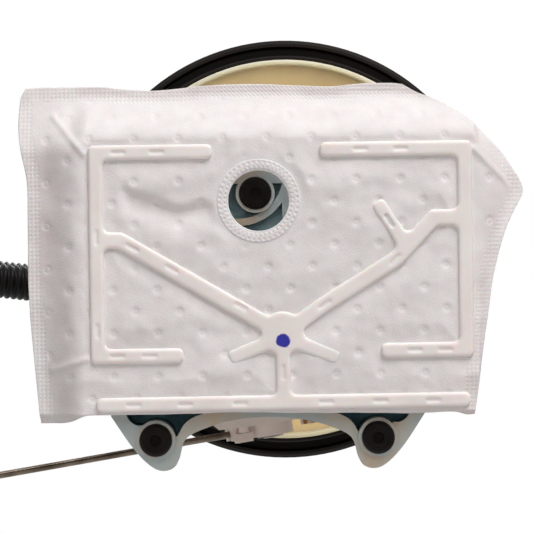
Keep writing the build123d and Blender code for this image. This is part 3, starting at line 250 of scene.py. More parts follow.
PLAIN_FINISHES = {
    "natural_acetal": dict(
        dark=(238, 220, 182), light=(246, 231, 196),
        rough=(0.35, 0.5), blotch=40, relief=0.02, subsurface=0.9,
    ),
    "seal_rubber": dict(
        dark=(13, 8, 5), light=(22, 15, 10),
        rough=(0.5, 0.65), blotch=60, relief=0.02, shine=0.16,
    ),
    "tinned_brass": dict(
        dark=(176, 166, 140), light=(206, 198, 176),
        rough=(0.25, 0.4), metal=1.0, blotch=400,
    ),
    "rod_steel": dict(
        dark=(176, 176, 176), light=(205, 205, 203),
        rough=(0.18, 0.32), metal=1.0, blotch=90, grain=900, relief=0.01, stretch=(4, 4, 0.3),
    ),
    "spring_steel": dict(
        dark=(110, 108, 104), light=(150, 147, 140),
        rough=(0.3, 0.5), metal=1.0, blotch=200,
    ),
    "foot_rubber": dict(
        dark=(14, 10, 7), light=(24, 18, 14),
        rough=(0.55, 0.75), blotch=250, relief=0.03, shine=0.15,
    ),
    "white_acetal": dict(
        dark=(212, 209, 200), light=(226, 223, 215),
        rough=(0.35, 0.5), blotch=50, subsurface=0.08,
    ),
    "bush_plastic": dict(dark=(66, 66, 64), light=(84, 84, 82)),
    "zinc_steel": dict(
        dark=(170, 172, 172), light=(200, 200, 192),
        rough=(0.25, 0.45), metal=1.0, blotch=300,
    ),
    "plated_steel": dict(
        dark=(172, 168, 156), light=(194, 190, 180),
        rough=(0.22, 0.38), metal=1.0, blotch=60, grain=1200, relief=0.01, stretch=(3, 3, 0.2),
    ),
    "pump_aluminium": dict(
        dark=(176, 176, 176), light=(200, 200, 200),
        rough=(0.25, 0.4), metal=1.0, blotch=150,
    ),
    "black_plastic": dict(
        dark=(26, 26, 27), light=(40, 40, 41),
        rough=(0.35, 0.55), blotch=150, relief=0.04,
    ),
    "brush_carbon": dict(dark=(30, 30, 31), light=(52, 52, 54), rough=(0.6, 0.8), blotch=600),
    "magnet_ferrite": dict(dark=(50, 50, 52), light=(70, 70, 72), rough=(0.6, 0.75), blotch=400),
    "plug_plastic": dict(dark=(186, 180, 162), light=(200, 195, 180)),
    "hose_plastic": dict(dark=(8, 6, 6), light=(14, 12, 12), rough=(0.35, 0.5), blotch=200, shine=0.12),
    "lead_insulation": dict(dark=(140, 28, 24), light=(165, 40, 34), rough=(0.35, 0.5), blotch=150),
    "sensor_insulation": dict(dark=(28, 44, 120), light=(40, 58, 146), rough=(0.35, 0.5), blotch=150),
    "sensor_plastic": dict(
        dark=(230, 218, 210), light=(240, 229, 221),
        rough=(0.4, 0.55), blotch=60, subsurface=0.15,
    ),
    "card_ceramic": dict(dark=(214, 212, 204), light=(228, 227, 221), rough=(0.5, 0.65), blotch=500),
    "contact_bronze": dict(
        dark=(140, 92, 48), light=(172, 120, 70),
        rough=(0.25, 0.45), metal=1.0, blotch=400,
    ),
    "impeller_resin": dict(dark=(70, 50, 34), light=(90, 66, 46), rough=(0.5, 0.65), blotch=500),
    "core_steel": dict(
        dark=(90, 90, 92), light=(128, 128, 130),
        rough=(0.4, 0.6), metal=1.0, blotch=80, grain=2600, relief=0.05, stretch=(0.1, 0.1, 1),
    ),
    "winding_copper": dict(
        dark=(150, 78, 42), light=(188, 110, 66),
        rough=(0.25, 0.4), metal=1.0, blotch=300, grain=1600, relief=0.15,
    ),
    "wire_steel": dict(
        dark=(88, 78, 68), light=(128, 116, 104),
        rough=(0.25, 0.42), metal=1.0, blotch=120, grain=900, relief=0.01,
    ),
    "float_foam": dict(
        dark=(44, 40, 36), light=(60, 55, 50),
        rough=(0.75, 0.9), blotch=900, grain=2200, relief=0.15,
    ),
}
FINISHES = {name: finish_of(name, **facts) for name, facts in PLAIN_FINISHES.items()}

# the casting's ground face, and the heights above it between which bare metal gives way to passivation,
# painted dark there as shade in the recesses
CASTING_FACE = -168.0
GROUND_TO, PASSIVATION_AND_SHADE_FROM = 0.6, 2.6
CASTING_RAGGED = 0.9
# blue-green passivation tones darkened with painted shade for the recesses, and the paler painted-light tone
PASSIVATION_AND_SHADE_DARK, PASSIVATION_AND_SHADE_LIGHT, CAST_PAINTED_LIGHT = (30, 70, 82), (84, 122, 130), (150, 178, 184)
# painted light: the recesses' colour is made paler towards the back, between these two places in Y
PAINTED_LIGHT_FROM, PAINTED_LIGHT_TO = 1.0, 5.0
# the ink dab on the runners' hub, and the two edges of its outline beyond its radius
INK_PLACE = (2.2, -25.6, -184.9)
INK_RADIUS, INK_RAGGED = 1.9, 0.9
INK_OUTER, INK_INNER = 0.55, 0.25
INK_BLUE = (30, 30, 160)
# how far daylight spreads in the flange, in metres, and how much of each colour
DAYLIGHT_SPREAD, DAYLIGHT_COLOURS = 0.008, (1.0, 0.86, 0.6)


def casting_finish():
    """Die casting: bare grey where its feet and face are ground, blue-green passivation with painted shade in
    the recesses, made paler towards the back with painted light.
    """
    material = finish_of(
        "passivated_casting",
        dark=(186, 170, 150),
        light=(168, 180, 181),
        rough=(0.36, 0.58),
        metal=0.5,
        blotch=75,
        grain=700,
        relief=0.12,
    )
    tree = material.node_tree
    shader = tree.nodes["Principled BSDF"]
    ground = shader.inputs["Base Color"].links[0].from_socket
    # painted shade: the recesses get a dark passivation colour that stands in for the shade lying in them
    passivation_and_shade = two_tone(tree, noise_field(tree, 130, 3.0), linear(*PASSIVATION_AND_SHADE_DARK), linear(*PASSIVATION_AND_SHADE_LIGHT), 0.3, 0.7)
    place = new_node(tree, "ShaderNodeTexCoord")
    split = new_node(tree, "ShaderNodeSeparateXYZ")
    tree.links.new(place.outputs["Object"], split.inputs[0])
    # painted light: the recesses are made paler towards the back, where the web lies under the bag's hole
    painted_light_share = new_node(tree, "ShaderNodeMapRange")
    painted_light_share.inputs["From Min"].default_value = PAINTED_LIGHT_FROM * MM
    painted_light_share.inputs["From Max"].default_value = PAINTED_LIGHT_TO * MM
    tree.links.new(split.outputs["Y"], painted_light_share.inputs["Value"])
    with_painted_light = new_node(tree, "ShaderNodeMix", data_type="RGBA")
    with_painted_light.inputs[7].default_value = (*linear(*CAST_PAINTED_LIGHT), 1)
    tree.links.new(painted_light_share.outputs[0], with_painted_light.inputs[0])
    tree.links.new(passivation_and_shade, with_painted_light.inputs[6])
    uneven = new_node(tree, "ShaderNodeMath", operation="MULTIPLY_ADD")
    uneven.inputs[1].default_value = CASTING_RAGGED * MM
    tree.links.new(noise_field(tree, 260, 2.0).outputs["Fac"], uneven.inputs[0])
    tree.links.new(split.outputs["Z"], uneven.inputs[2])
    # bare metal on the ground face, the passivation with painted shade higher up in the recesses
    depth = new_node(tree, "ShaderNodeMapRange")
    depth.inputs["From Min"].default_value = (CASTING_FACE + GROUND_TO) * MM
    depth.inputs["From Max"].default_value = (CASTING_FACE + PASSIVATION_AND_SHADE_FROM) * MM
    tree.links.new(uneven.outputs[0], depth.inputs["Value"])
    mix = new_node(tree, "ShaderNodeMix", data_type="RGBA")
    tree.links.new(depth.outputs[0], mix.inputs[0])
    tree.links.new(ground, mix.inputs[6])
    tree.links.new(with_painted_light.outputs[2], mix.inputs[7])
    tree.links.new(mix.outputs[2], shader.inputs["Base Color"])
    return material


def runner_finish():
    """Translucent white runners with one uneven dab of blue inspection ink on the hub."""
    material = finish_of(
        "runner_plastic",
        dark=(236, 229, 226),
        light=(244, 238, 236),
        rough=(0.48, 0.6),
        blotch=70,
        relief=0.015,
        subsurface=0.35,
    )
    tree = material.node_tree
    shader = tree.nodes["Principled BSDF"]
    plain = shader.inputs["Base Color"].links[0].from_socket
    place = new_node(tree, "ShaderNodeTexCoord")
    away = new_node(tree, "ShaderNodeVectorMath", operation="DISTANCE")
    away.inputs[1].default_value = mm(*INK_PLACE)
    tree.links.new(place.outputs["Object"], away.inputs[0])
    ragged = new_node(tree, "ShaderNodeMath", operation="MULTIPLY_ADD")
    ragged.inputs[1].default_value = INK_RAGGED * MM
    tree.links.new(noise_field(tree, 600, 3.0).outputs["Fac"], ragged.inputs[0])
    tree.links.new(away.outputs["Value"], ragged.inputs[2])
    edge = new_node(tree, "ShaderNodeMapRange")
    edge.inputs["From Min"].default_value = (INK_RADIUS + INK_OUTER) * MM
    edge.inputs["From Max"].default_value = (INK_RADIUS + INK_INNER) * MM
    tree.links.new(ragged.outputs[0], edge.inputs["Value"])
    mix = new_node(tree, "ShaderNodeMix", data_type="RGBA")
    mix.inputs[7].default_value = (*linear(*INK_BLUE), 1)
    tree.links.new(edge.outputs[0], mix.inputs[0])
    tree.links.new(plain, mix.inputs[6])
    tree.links.new(mix.outputs[2], shader.inputs["Base Color"])
    return material


def bag_finish():
    """White point-bonded nonwoven: matte, with fibres laid in all directions."""
    return finish_of(
        "bag_fabric",
        dark=(229, 224, 224),
        light=(236, 232, 232),
        rough=(0.75, 0.95),
        blotch=160,
        grain=2600,
        relief=0.12,
        subsurface=0.12,
        sheen=0.15,
    )


# the flange lets daylight through from its far side
acetal = FINISHES["natural_acetal"].node_tree.nodes["Principled BSDF"]
acetal.inputs["Subsurface Radius"].default_value = DAYLIGHT_COLOURS
acetal.inputs["Subsurface Scale"].default_value = DAYLIGHT_SPREAD
FINISHES["passivated_casting"] = casting_finish()
FINISHES["runner_plastic"] = runner_finish()
FINISHES["bag_fabric"] = bag_finish()

for part in frame["record"]["subparts"]:
    piece = nodes[part["node"]]
    piece.data.materials.clear()
    piece.data.materials.append(FINISHES[part["material_slot"]])

# ---------------------------------------------------------------- mesh helpers


def add_piece(name, points, faces, slot, smooth=True):
    """A new mesh piece with the finish of one of the record's slots."""
    mesh = bpy.data.meshes.new(name)
    mesh.from_pydata([tuple(p) for p in points], [], faces)
    mesh.update()
    if smooth:
        mesh.polygons.foreach_set("use_smooth", [True] * len(mesh.polygons))
    mesh.materials.append(FINISHES[slot])
    piece = bpy.data.objects.new(name, mesh)
    bpy.context.scene.collection.objects.link(piece)
    return piece


def spline_points(route, steps):
    """Points along the smooth spline whose control points are the route, in metres."""
    curve = bpy.data.curves.new("route", "CURVE")
    curve.dimensions = "3D"
    spline = curve.splines.new("NURBS")
    spline.points.add(len(route) - 1)
    for point, place in zip(spline.points, route):
        point.co = (*place, 1)
    spline.order_u = 3
    spline.use_endpoint_u = True
    spline.resolution_u = steps
    holder = bpy.data.objects.new("route", curve)
    bpy.context.scene.collection.objects.link(holder)
    mesh = bpy.data.meshes.new_from_object(holder)
    points = [v.co.copy() for v in mesh.vertices]
    bpy.data.objects.remove(holder)
    bpy.data.meshes.remove(mesh)
    return points


def evenly(points, step):
    """The same line with its points a fixed step apart."""
    spaced, carried = [points[0]], 0.0
    for a, b in zip(points, points[1:]):
        length = (b - a).length
        while length > 0 and carried + length >= step:
            share = (step - carried) / length
            a = a.lerp(b, share)
            length = (b - a).length
            spaced.append(a)
            carried = 0.0
        carried += length
    return spaced


def tube_rings(points, radii, sides):
    """Rings of vertices along a line, turned with it and never twisted."""
    rings = []
    along = (points[1] - points[0]).normalized()
    across = along.orthogonal().normalized()
    for i, point in enumerate(points):
        before, after = points[max(i - 1, 0)], points[min(i + 1, len(points) - 1)]
        along = (after - before).normalized()
        across = (across - along * across.dot(along)).normalized()
        other = along.cross(across)
        turns = [tau * k / sides for k in range(sides)]
        rings.append([point + (across * cos(turn) + other * sin(turn)) * radii[i] for turn in turns])
    return rings


def hoop_rings(centre, radius, thickness, around):
    """Rings of vertices for a thin round hoop of eight sides, level about its centre, in millimetres."""
    rings = []
    for i in range(around):
        outward = Vector((cos(tau * i / around), sin(tau * i / around), 0))
        middle = centre + outward * radius * MM
        ring = []
        for k in range(8):
            turn = tau * k / 8
            ring.append(middle + (outward * cos(turn) + Vector((0, 0, sin(turn)))) * thickness * MM)
        rings.append(ring)
    return rings


def skin(rings, closed=False):
    """Vertices and faces that join the rings, with both ends capped unless they are closed."""
    sides = len(rings[0])
    points = [p for ring in rings for p in ring]
    faces = []
    for i in range(len(rings) - 1):
        for k in range(sides):
            n = (k + 1) % sides
            faces.append((i * sides + k, i * sides + n, (i + 1) * sides + n, (i + 1) * sides + k))
    if closed:
        last = (len(rings) - 1) * sides
        faces += [(last + k, last + (k + 1) % sides, (k + 1) % sides, k) for k in range(sides)]
    else:
        faces.append(tuple(reversed(range(sides))))
        faces.append(tuple((len(rings) - 1) * sides + k for k in range(sides)))
    return points, faces


# ---------------------------------------------------------------- springs

SPRING_TOP, SPRING_FLOOR = -22.1, -108.4
SPRING_RADIUS, SPRING_WIRE = 6.1, 0.7
SPRING_TURNS, STEPS_PER_TURN, WIRE_SIDES = 9, 40, 10
DEAD_TURN = 0.9


def add_spring(name, x, y):
    """Round wire, with a closed turn at each end."""
    steps = SPRING_TURNS * STEPS_PER_TURN
    low, high = SPRING_FLOOR + SPRING_WIRE, SPRING_TOP - SPRING_WIRE
    points = []
    for i in range(steps + 1):
        turns = SPRING_TURNS * i / steps
        share = min(max((turns - DEAD_TURN) / (SPRING_TURNS - 2 * DEAD_TURN), 0), 1)
        angle = tau * turns
        height = low + (high - low) * share
        points.append(mm(x + SPRING_RADIUS * cos(angle), y + SPRING_RADIUS * sin(angle), height))
    rings = tube_rings(points, [SPRING_WIRE * MM] * len(points), WIRE_SIDES)
    spring = add_piece(name, *skin(rings), "spring_steel")
    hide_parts(name.replace("_coil", ""))
    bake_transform(spring)


add_spring("left_spring_coil", 35.5, 4.0)
add_spring("right_spring_coil", -22.5, 4.0)

# ---------------------------------------------------------------- feed hose

OUTLET = (10.0, -18.0)
FEED = (22.0, -16.5, -24.6)
ELBOW_Z = -63.5
HOSE_HEADING, HOSE_FALL = radians(7.0), radians(38.0)
HOSE_RADIUS, HOSE_ROOT = 5.1, 4.35
HOSE_PITCH = 2.0
HOSE_STEP = HOSE_PITCH * MM / 6
HOSE_SIDES = 28
# below 1 this makes the ribs' crests wider than the valleys between them
RIB_POWER = 0.6
# each cuff's length, how far it is inside the ribs' crests, and the length over which the ribs begin
HOSE_CUFF, CUFF_INSET, CUFF_RUN = 14.0, 0.35, 1.5


def hose_point(reach, z):
    """A point in the upright plane that the hose lies in."""
    return mm(OUTLET[0] + reach * cos(HOSE_HEADING), OUTLET[1] + reach * sin(HOSE_HEADING), z)


def down_the_barb(reach):
    """A point on the outlet barb's sloping axis."""
    return hose_point(reach * cos(HOSE_FALL), ELBOW_Z - reach * sin(HOSE_FALL))


def from_the_flange(reach):
    """A point on the flange's feed pipe's level axis."""
    return mm(FEED[0] + reach * cos(HOSE_HEADING), FEED[1] + reach * sin(HOSE_HEADING), FEED[2])


HOSE_ROUTE = [
    down_the_barb(12),
    down_the_barb(48),
    hose_point(73.9, -120.3),
    hose_point(111.7, -117.5),
    hose_point(136.5, -88.8),
    hose_point(134.7, -50.8),
    hose_point(107.2, -25.4),
    hose_point(63.3, FEED[2]),
    from_the_flange(9),
]


def add_hose():
    """Corrugated hose with a plain cuff at each end, in two pieces that meet at its outermost point."""
    line = evenly(spline_points(HOSE_ROUTE, 60), HOSE_STEP)
    length = len(line) * HOSE_STEP
    radii = []
    for i in range(len(line)):
        place = i * HOSE_STEP
        end = min(place, length - place) / MM
        wave = 0.5 + 0.5 * cos(tau * place / (HOSE_PITCH * MM))
        ribbed = HOSE_ROOT + (HOSE_RADIUS - HOSE_ROOT) * wave**RIB_POWER
        share = min(max((end - HOSE_CUFF) / CUFF_RUN, 0), 1)
        radii.append((HOSE_RADIUS - CUFF_INSET) * MM * (1 - share) + ribbed * MM * share)
    rings = tube_rings(line, radii, HOSE_SIDES)
    outermost = max(range(len(line)), key=lambda i: line[i].x)
    lower = add_piece("corrugated_hose", *skin(rings[: outermost + 1]), "hose_plastic")
    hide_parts("feed_hose")
    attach(lower, "base")
    upper = add_piece("corrugated_hose_upper", *skin(rings[outermost:]), "hose_plastic")
    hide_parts("feed_hose")
    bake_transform(upper)


add_hose()

# ---------------------------------------------------------------- leads

LEAD_RADIUS, LEAD_STEP, LEAD_SIDES = 0.9, 0.7, 12
# how far apart the two leads of a pair run
PUMP_PAIR, SENSOR_PAIR = 3.6, 3.0
BLADE_PITCH = 4.8
BLADE_X = [-14.0 + (blade - 1.5) * BLADE_PITCH for blade in range(4)]
BLADE_Y, BLADE_FLOOR = 28.6, -12.0
TAB_LENGTH = 11


def add_lead(name, blade, finish, *points):
    """One insulated lead from a blade's crimp tab down to its terminal."""
    tab = [(BLADE_X[blade], BLADE_Y, z) for z in (BLADE_FLOOR, BLADE_FLOOR - TAB_LENGTH)]
    route = [mm(*point) for point in tab + list(points)]
    line = evenly(spline_points(route, 24), LEAD_STEP * MM)
    lead = add_piece(name, *skin(tube_rings(line, [LEAD_RADIUS * MM] * len(line), LEAD_SIDES)), finish)
    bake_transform(lead)
    return lead


for side, name in enumerate(("pump_lead_feed", "pump_lead_return")):
    lead = add_lead(
        name,
        2 + side,
        "lead_insulation",
        (BLADE_X[2 + side] + 4, 14, -38),
        (-2.0 + PUMP_PAIR * side, -4, -47),
        (-2.0 + PUMP_PAIR * side, -22, -50),
        (-1.2 + PUMP_PAIR * side, -31.5, -58),
        (-0.8 + PUMP_PAIR * side, -31.5, -69.5),
    )
    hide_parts("pump_leads")
for side, name in enumerate(("sensor_lead_signal", "sensor_lead_return")):
    lead = add_lead(
        name,
        side,
        "sensor_insulation",
        (-13.5 + SENSOR_PAIR * side, 17, -35),
        (-11.5 + SENSOR_PAIR * side, -4, -41),
        (-12.5 + SENSOR_PAIR * side, -26, -46),
        (-11.5 + SENSOR_PAIR * side, -42, -58),
        (-10.3 + SENSOR_PAIR * side, -47.8, -72),
        (-10.3 + SENSOR_PAIR * side, -47.8, -88),
    )
    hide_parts("sensor_leads")

# ---------------------------------------------------------------- strainer bag

# the bag's side edges, as (y, x) from its fold at the front to its weld at the back
PLUS_EDGE = [
    (-47.4, 67.9), (-41, 68.4), (-30, 69.4), (-19.4, 70.3), (-8.5, 70.8), (4.2, 70.7), (14.5, 70.6),
    (18, 70.7), (20.7, 71.1), (24.2, 71.9), (27.7, 72.6), (30.8, 73.0), (34.5, 73.2), (39.1, 72.9),
    (41.8, 72.5), (42.8, 71.8), (43.4, 70.7),
]
MINUS_EDGE = [
    (-47.0, -48.7), (-40, -49.8), (-29.2, -51.3), (-19.7, -52.8), (-9.4, -54.3), (-2.6, -56.0),
    (3.6, -57.9), (9, -60.4), (13.8, -63.2), (16.7, -62.6), (24.9, -57.3), (33.7, -49.3), (38.7, -42.6),
    (42, -35.9), (43.4, -29.5),
]
# its weld at the back and its fold at the front, as (x, y)
BACK_EDGE = [
    (-36.0, 42.4), (-29.3, 43.7), (-21.1, 43.8), (-11.6, 42.9), (-2.0, 43.4), (7.5, 43.9), (16, 43.9),
    (23.8, 43.6), (31, 42.8), (37.4, 42.4), (44, 42.9), (51.0, 43.7), (67.2, 43.7), (72.8, 43.4),
]
FRONT_EDGE = [
    (-48.9, -46.1), (-47.6, -47.0), (-44.3, -45.8), (-37.5, -46.2), (7.0, -45.3), (56.1, -45.6),
    (57.7, -46.8), (61.0, -47.6), (69.2, -47.7),
]
FOLD_Y, WELD_Y = -46.2, 43.4
FOLD_INSET, FOLD_WANDER = 0.5, 0.35
# the flat part that lies on the runners, as its four sides
FLAT_PLUS, FLAT_MINUS, FLAT_FRONT, FLAT_BACK = 55.5, -50.0, -44.8, 28.5
BAG_FLOOR = -182.4
# how far the weld stands above the flat part: at the back, at +X, and at -X for each mm of margin there
BACK_RISE, PLUS_RISE, MINUS_SLOPE = 11.0, 5.6, 0.34
FOLD_RISE = 2.5
# the share of a margin at which its slope ends and the level weld begins
LEVEL_FROM = 0.88
# beyond the first X the back margin's slope starts further forward, by the second number
SHOULDER_X, SHOULDER_CUT = 54.0, 3.6
# at the -X corner it starts along a diagonal: where that begins, its slope, and a small step
CORNER_X, CORNER_SLOPE, CORNER_STEP = -49.3, 0.94, 2.5
# the filled pouch, and how far inside the weld and the fold it is at its full height
POUCH_HEIGHT, POUCH_RUN, POUCH_FOLD_RUN = 5.5, 9.0, 5.0
SHEET_THICKNESS = 0.5
WELD_WIDTH, WELD_SOFT = 4.2, 0.6
EMBOSS_PITCH, EMBOSS_DEPTH, EMBOSS_FAINT = 1.1, 0.24, 0.25
BOND_PITCH_X, BOND_PITCH_Y = 11.9, 5.8
PIT_DEPTH, PIT_RADIUS = 0.5, 0.95
PIT_MIDDLE, PIT_MIDDLE_RADIUS = 0.28, 0.4
HOLE = (8.3, 11.9)
HOLE_RADIUS = 8.2
# vertices up to this far outside the hole's rim are moved onto it, and those this far inside it are left out
HOLE_SNAP, HOLE_CUT = 0.25, 0.35
COLLAR_WIDTH, COLLAR_RUN, COLLAR_LEVEL = 3.2, 3.0, -1.7
RUNNER_LINES = [
    ((28.9, -29.3), (51.8, -29.3)),
    ((51.8, -29.3), (51.9, 25.2)),
    ((51.9, 25.2), (20.6, 25.2)),
    ((-24.0, -28.6), (-46.9, -28.6)),
    ((-46.9, -28.6), (-46.9, 25.3)),
    ((-46.9, 25.3), (-8.2, 25.3)),
    ((52.4, -42.4), (-47.6, -42.0)),
    ((2.3, -23.6), (2.3, -42.2)),
    ((45.6, 1.7), (4.3, -22.6)),
    ((0.3, -22.6), (-8.3, -16.5)),
    ((-8.3, -16.5), (-28.3, -4.2)),
    ((-28.3, -4.2), (-38.6, 6.7)),
]
# how far the fabric stands out beside a runner, and how much further in the middle of a panel
PANEL_BULGE, PANEL_PILLOW = 1.5, 0.5
# the distance from a runner's centre line at which its side ends, and over which each effect comes in
RUNNER_SIDE, PILLOW_RUN, CREASE_RUN = 1.8, 6.0, 2.0
WRINKLE_FROM, WRINKLE_RUN = 2.0, 9.0
WRINKLE_HEIGHT, WRINKLET_HEIGHT, MOTTLE_HEIGHT = 0.9, 0.35, 0.16
# pinched ridges from the runners' corners to the corners of the weld
RIDGES = [((55, 25), (63.5, 35.5)), ((-49.5, 25), (-61, 13.8)), ((52, -29), (68, -34))]
RIDGE_HEIGHT, RIDGE_WIDTH = 0.55, 0.95
# the one deep crease, in the panel on the +X side of the hole
FOLD_LINE = [
    (44.9, 14.4), (41.7, 13.0), (38.9, 12.2), (36.3, 11.2), (33.6, 9.8), (31.2, 8.8), (28.5, 8.8),
    (25.9, 9.4), (21.5, 9.9), (16.0, 10.2),
]
FOLD_CENTRE = sorted(FOLD_LINE)
# its depth, its width behind, how much wider it is in front, and where in X it has died out
FOLD_DEPTH, FOLD_WIDTH, FOLD_SPREAD = 1.5, 1.7, 2.6
FOLD_END_X, FOLD_END_RUN = 46.5, 4.0
BAG_MESH, BAG_MESH_QUICK = (420, 300), (170, 120)


def between(edge, y):
    """The edge's second value at a given first one."""
    for (y0, x0), (y1, x1) in zip(edge, edge[1:]):
        if y <= y1:
            return x0 + (x1 - x0) * max((y - y0) / (y1 - y0), 0)
    return edge[-1][1]


def softened(edge, reach=1.5, step=0.5):
    """The edge rounded off at its measured points: its start, its step and a value for each step."""
    first, last = edge[0][0], edge[-1][0]
    count = round((last - first) / step)
    values = []
    for k in range(count + 1):
        place = first + (last - first) * k / count
        values.append(sum(between(edge, place + reach * d / 4) for d in range(-4, 5)) / 9)
    return first, (last - first) / count, values


def along_edge(table, y):
    """The softened edge's value at a given place."""
    first, step, values = table
    place = min(max((y - first) / step, 0), len(values) - 1.001)
    low = int(place)
    return values[low] + (values[low + 1] - values[low]) * (place - low)


PLUS, MINUS, BACK, FRONT = [softened(edge) for edge in (PLUS_EDGE, MINUS_EDGE, BACK_EDGE, FRONT_EDGE)]


def smooth(value):
    """0 below 0, 1 above 1, and an even S between them."""
    value = min(max(value, 0.0), 1.0)
    return value * value * (3 - 2 * value)


def to_line(x, y, start, end):
    """Distance in plan from a point to a line segment."""
    dx, dy = end[0] - start[0], end[1] - start[1]
    share = ((x - start[0]) * dx + (y - start[1]) * dy) / (dx * dx + dy * dy)
    share = min(max(share, 0), 1)
    return hypot(x - start[0] - share * dx, y - start[1] - share * dy)


def bond_dent(x, y):
    """One small pit, with a raised middle, at each place of a triangular lattice."""
    row = round(y / BOND_PITCH_Y)
    shift = 0.5 * (row % 2)
    column = round(x / BOND_PITCH_X - shift)
    away = hypot(x - (column + shift) * BOND_PITCH_X, y - row * BOND_PITCH_Y)
    pit = PIT_DEPTH * exp(-((away / PIT_RADIUS) ** 2))
    return pit - PIT_MIDDLE * exp(-((away / PIT_MIDDLE_RADIUS) ** 2))


def creases(x, y):
    """Soft wrinkles between the runners, the one deep crease, and the panels' bulge."""
    wrinkle = noise.noise(Vector((x * 0.05, y * 0.07, 3.1))) * WRINKLE_HEIGHT
    wrinkle += noise.noise(Vector((x * 0.09 + y * 0.03, y * 0.11, 8.2))) * WRINKLET_HEIGHT
    runner = min(to_line(x, y, *line) for line in RUNNER_LINES)
    held = smooth((runner - WRINKLE_FROM) / WRINKLE_RUN)
    fold = min(to_line(x, y, a, b) for a, b in zip(FOLD_LINE, FOLD_LINE[1:]))
    # the crease falls steeply from its back side and runs out gently towards the front
    front = smooth((between(FOLD_CENTRE, x) - y + 1.0) / 2.0)
    deep = FOLD_DEPTH * smooth((FOLD_END_X - x) / FOLD_END_RUN)
    deep *= exp(-((fold / (FOLD_WIDTH + FOLD_SPREAD * front)) ** 2))
    mottle = MOTTLE_HEIGHT * noise.noise(Vector((x * 0.3, y * 0.3, 5.5)))
    pillow = PANEL_PILLOW * smooth((runner - RUNNER_SIDE) / PILLOW_RUN)
    free = smooth((runner - RUNNER_SIDE) / CREASE_RUN)
    return wrinkle * held + (deep + mottle) * free - PANEL_BULGE - pillow


def corner_ridges(x, y):
    """Height of the pinched ridges, towards the tank's floor."""
    return -sum(RIDGE_HEIGHT * exp(-((to_line(x, y, *ridge) / RIDGE_WIDTH) ** 2)) for ridge in RIDGES)


def bag_heights(x, y):
    """(edge distance, rise of the margin, height of the underside) at a point of the bag."""
    plus, minus, back = along_edge(PLUS, y), along_edge(MINUS, y), along_edge(BACK, x)
    edge = min(plus - x, x - minus, back - y)
    start = FLAT_BACK - SHOULDER_CUT * smooth((x - SHOULDER_X) / 5.0)
    if x < CORNER_X:
        start += CORNER_SLOPE * (x - CORNER_X) - CORNER_STEP * smooth((CORNER_X - x) / 2.0)
    margins = (
        (x - FLAT_PLUS, plus - x, PLUS_RISE),
        (FLAT_MINUS - x, x - minus, MINUS_SLOPE * (FLAT_MINUS - minus)),
        (y - start, back - y, BACK_RISE),
    )
    left = 1.0
    share = 0.0
    for out, rim, high in margins:
        out = max(out, 0.0)
        part = out / max(out + max(rim, 0.0), 0.5)
        share = max(share, part)
        left *= 1 - max(high, 0.0) / BACK_RISE * smooth(part / LEVEL_FROM)
    rise = BACK_RISE * (1 - left)
    if y < FLAT_FRONT:
        rise += FOLD_RISE * smooth((FLAT_FRONT - y) / 2.0)
    inside = 1 - smooth((WELD_WIDTH + 1 - edge) / 2.0)
    return edge, rise, rise + creases(x, y) * (1 - 0.5 * share) + corner_ridges(x, y) * inside


def diamonds(a, b):
    """Depth share of staggered diamonds, with a faint second set between them."""
    press = sin(a) * sin(b)
    return abs(press) * (1 if press > 0 else EMBOSS_FAINT)


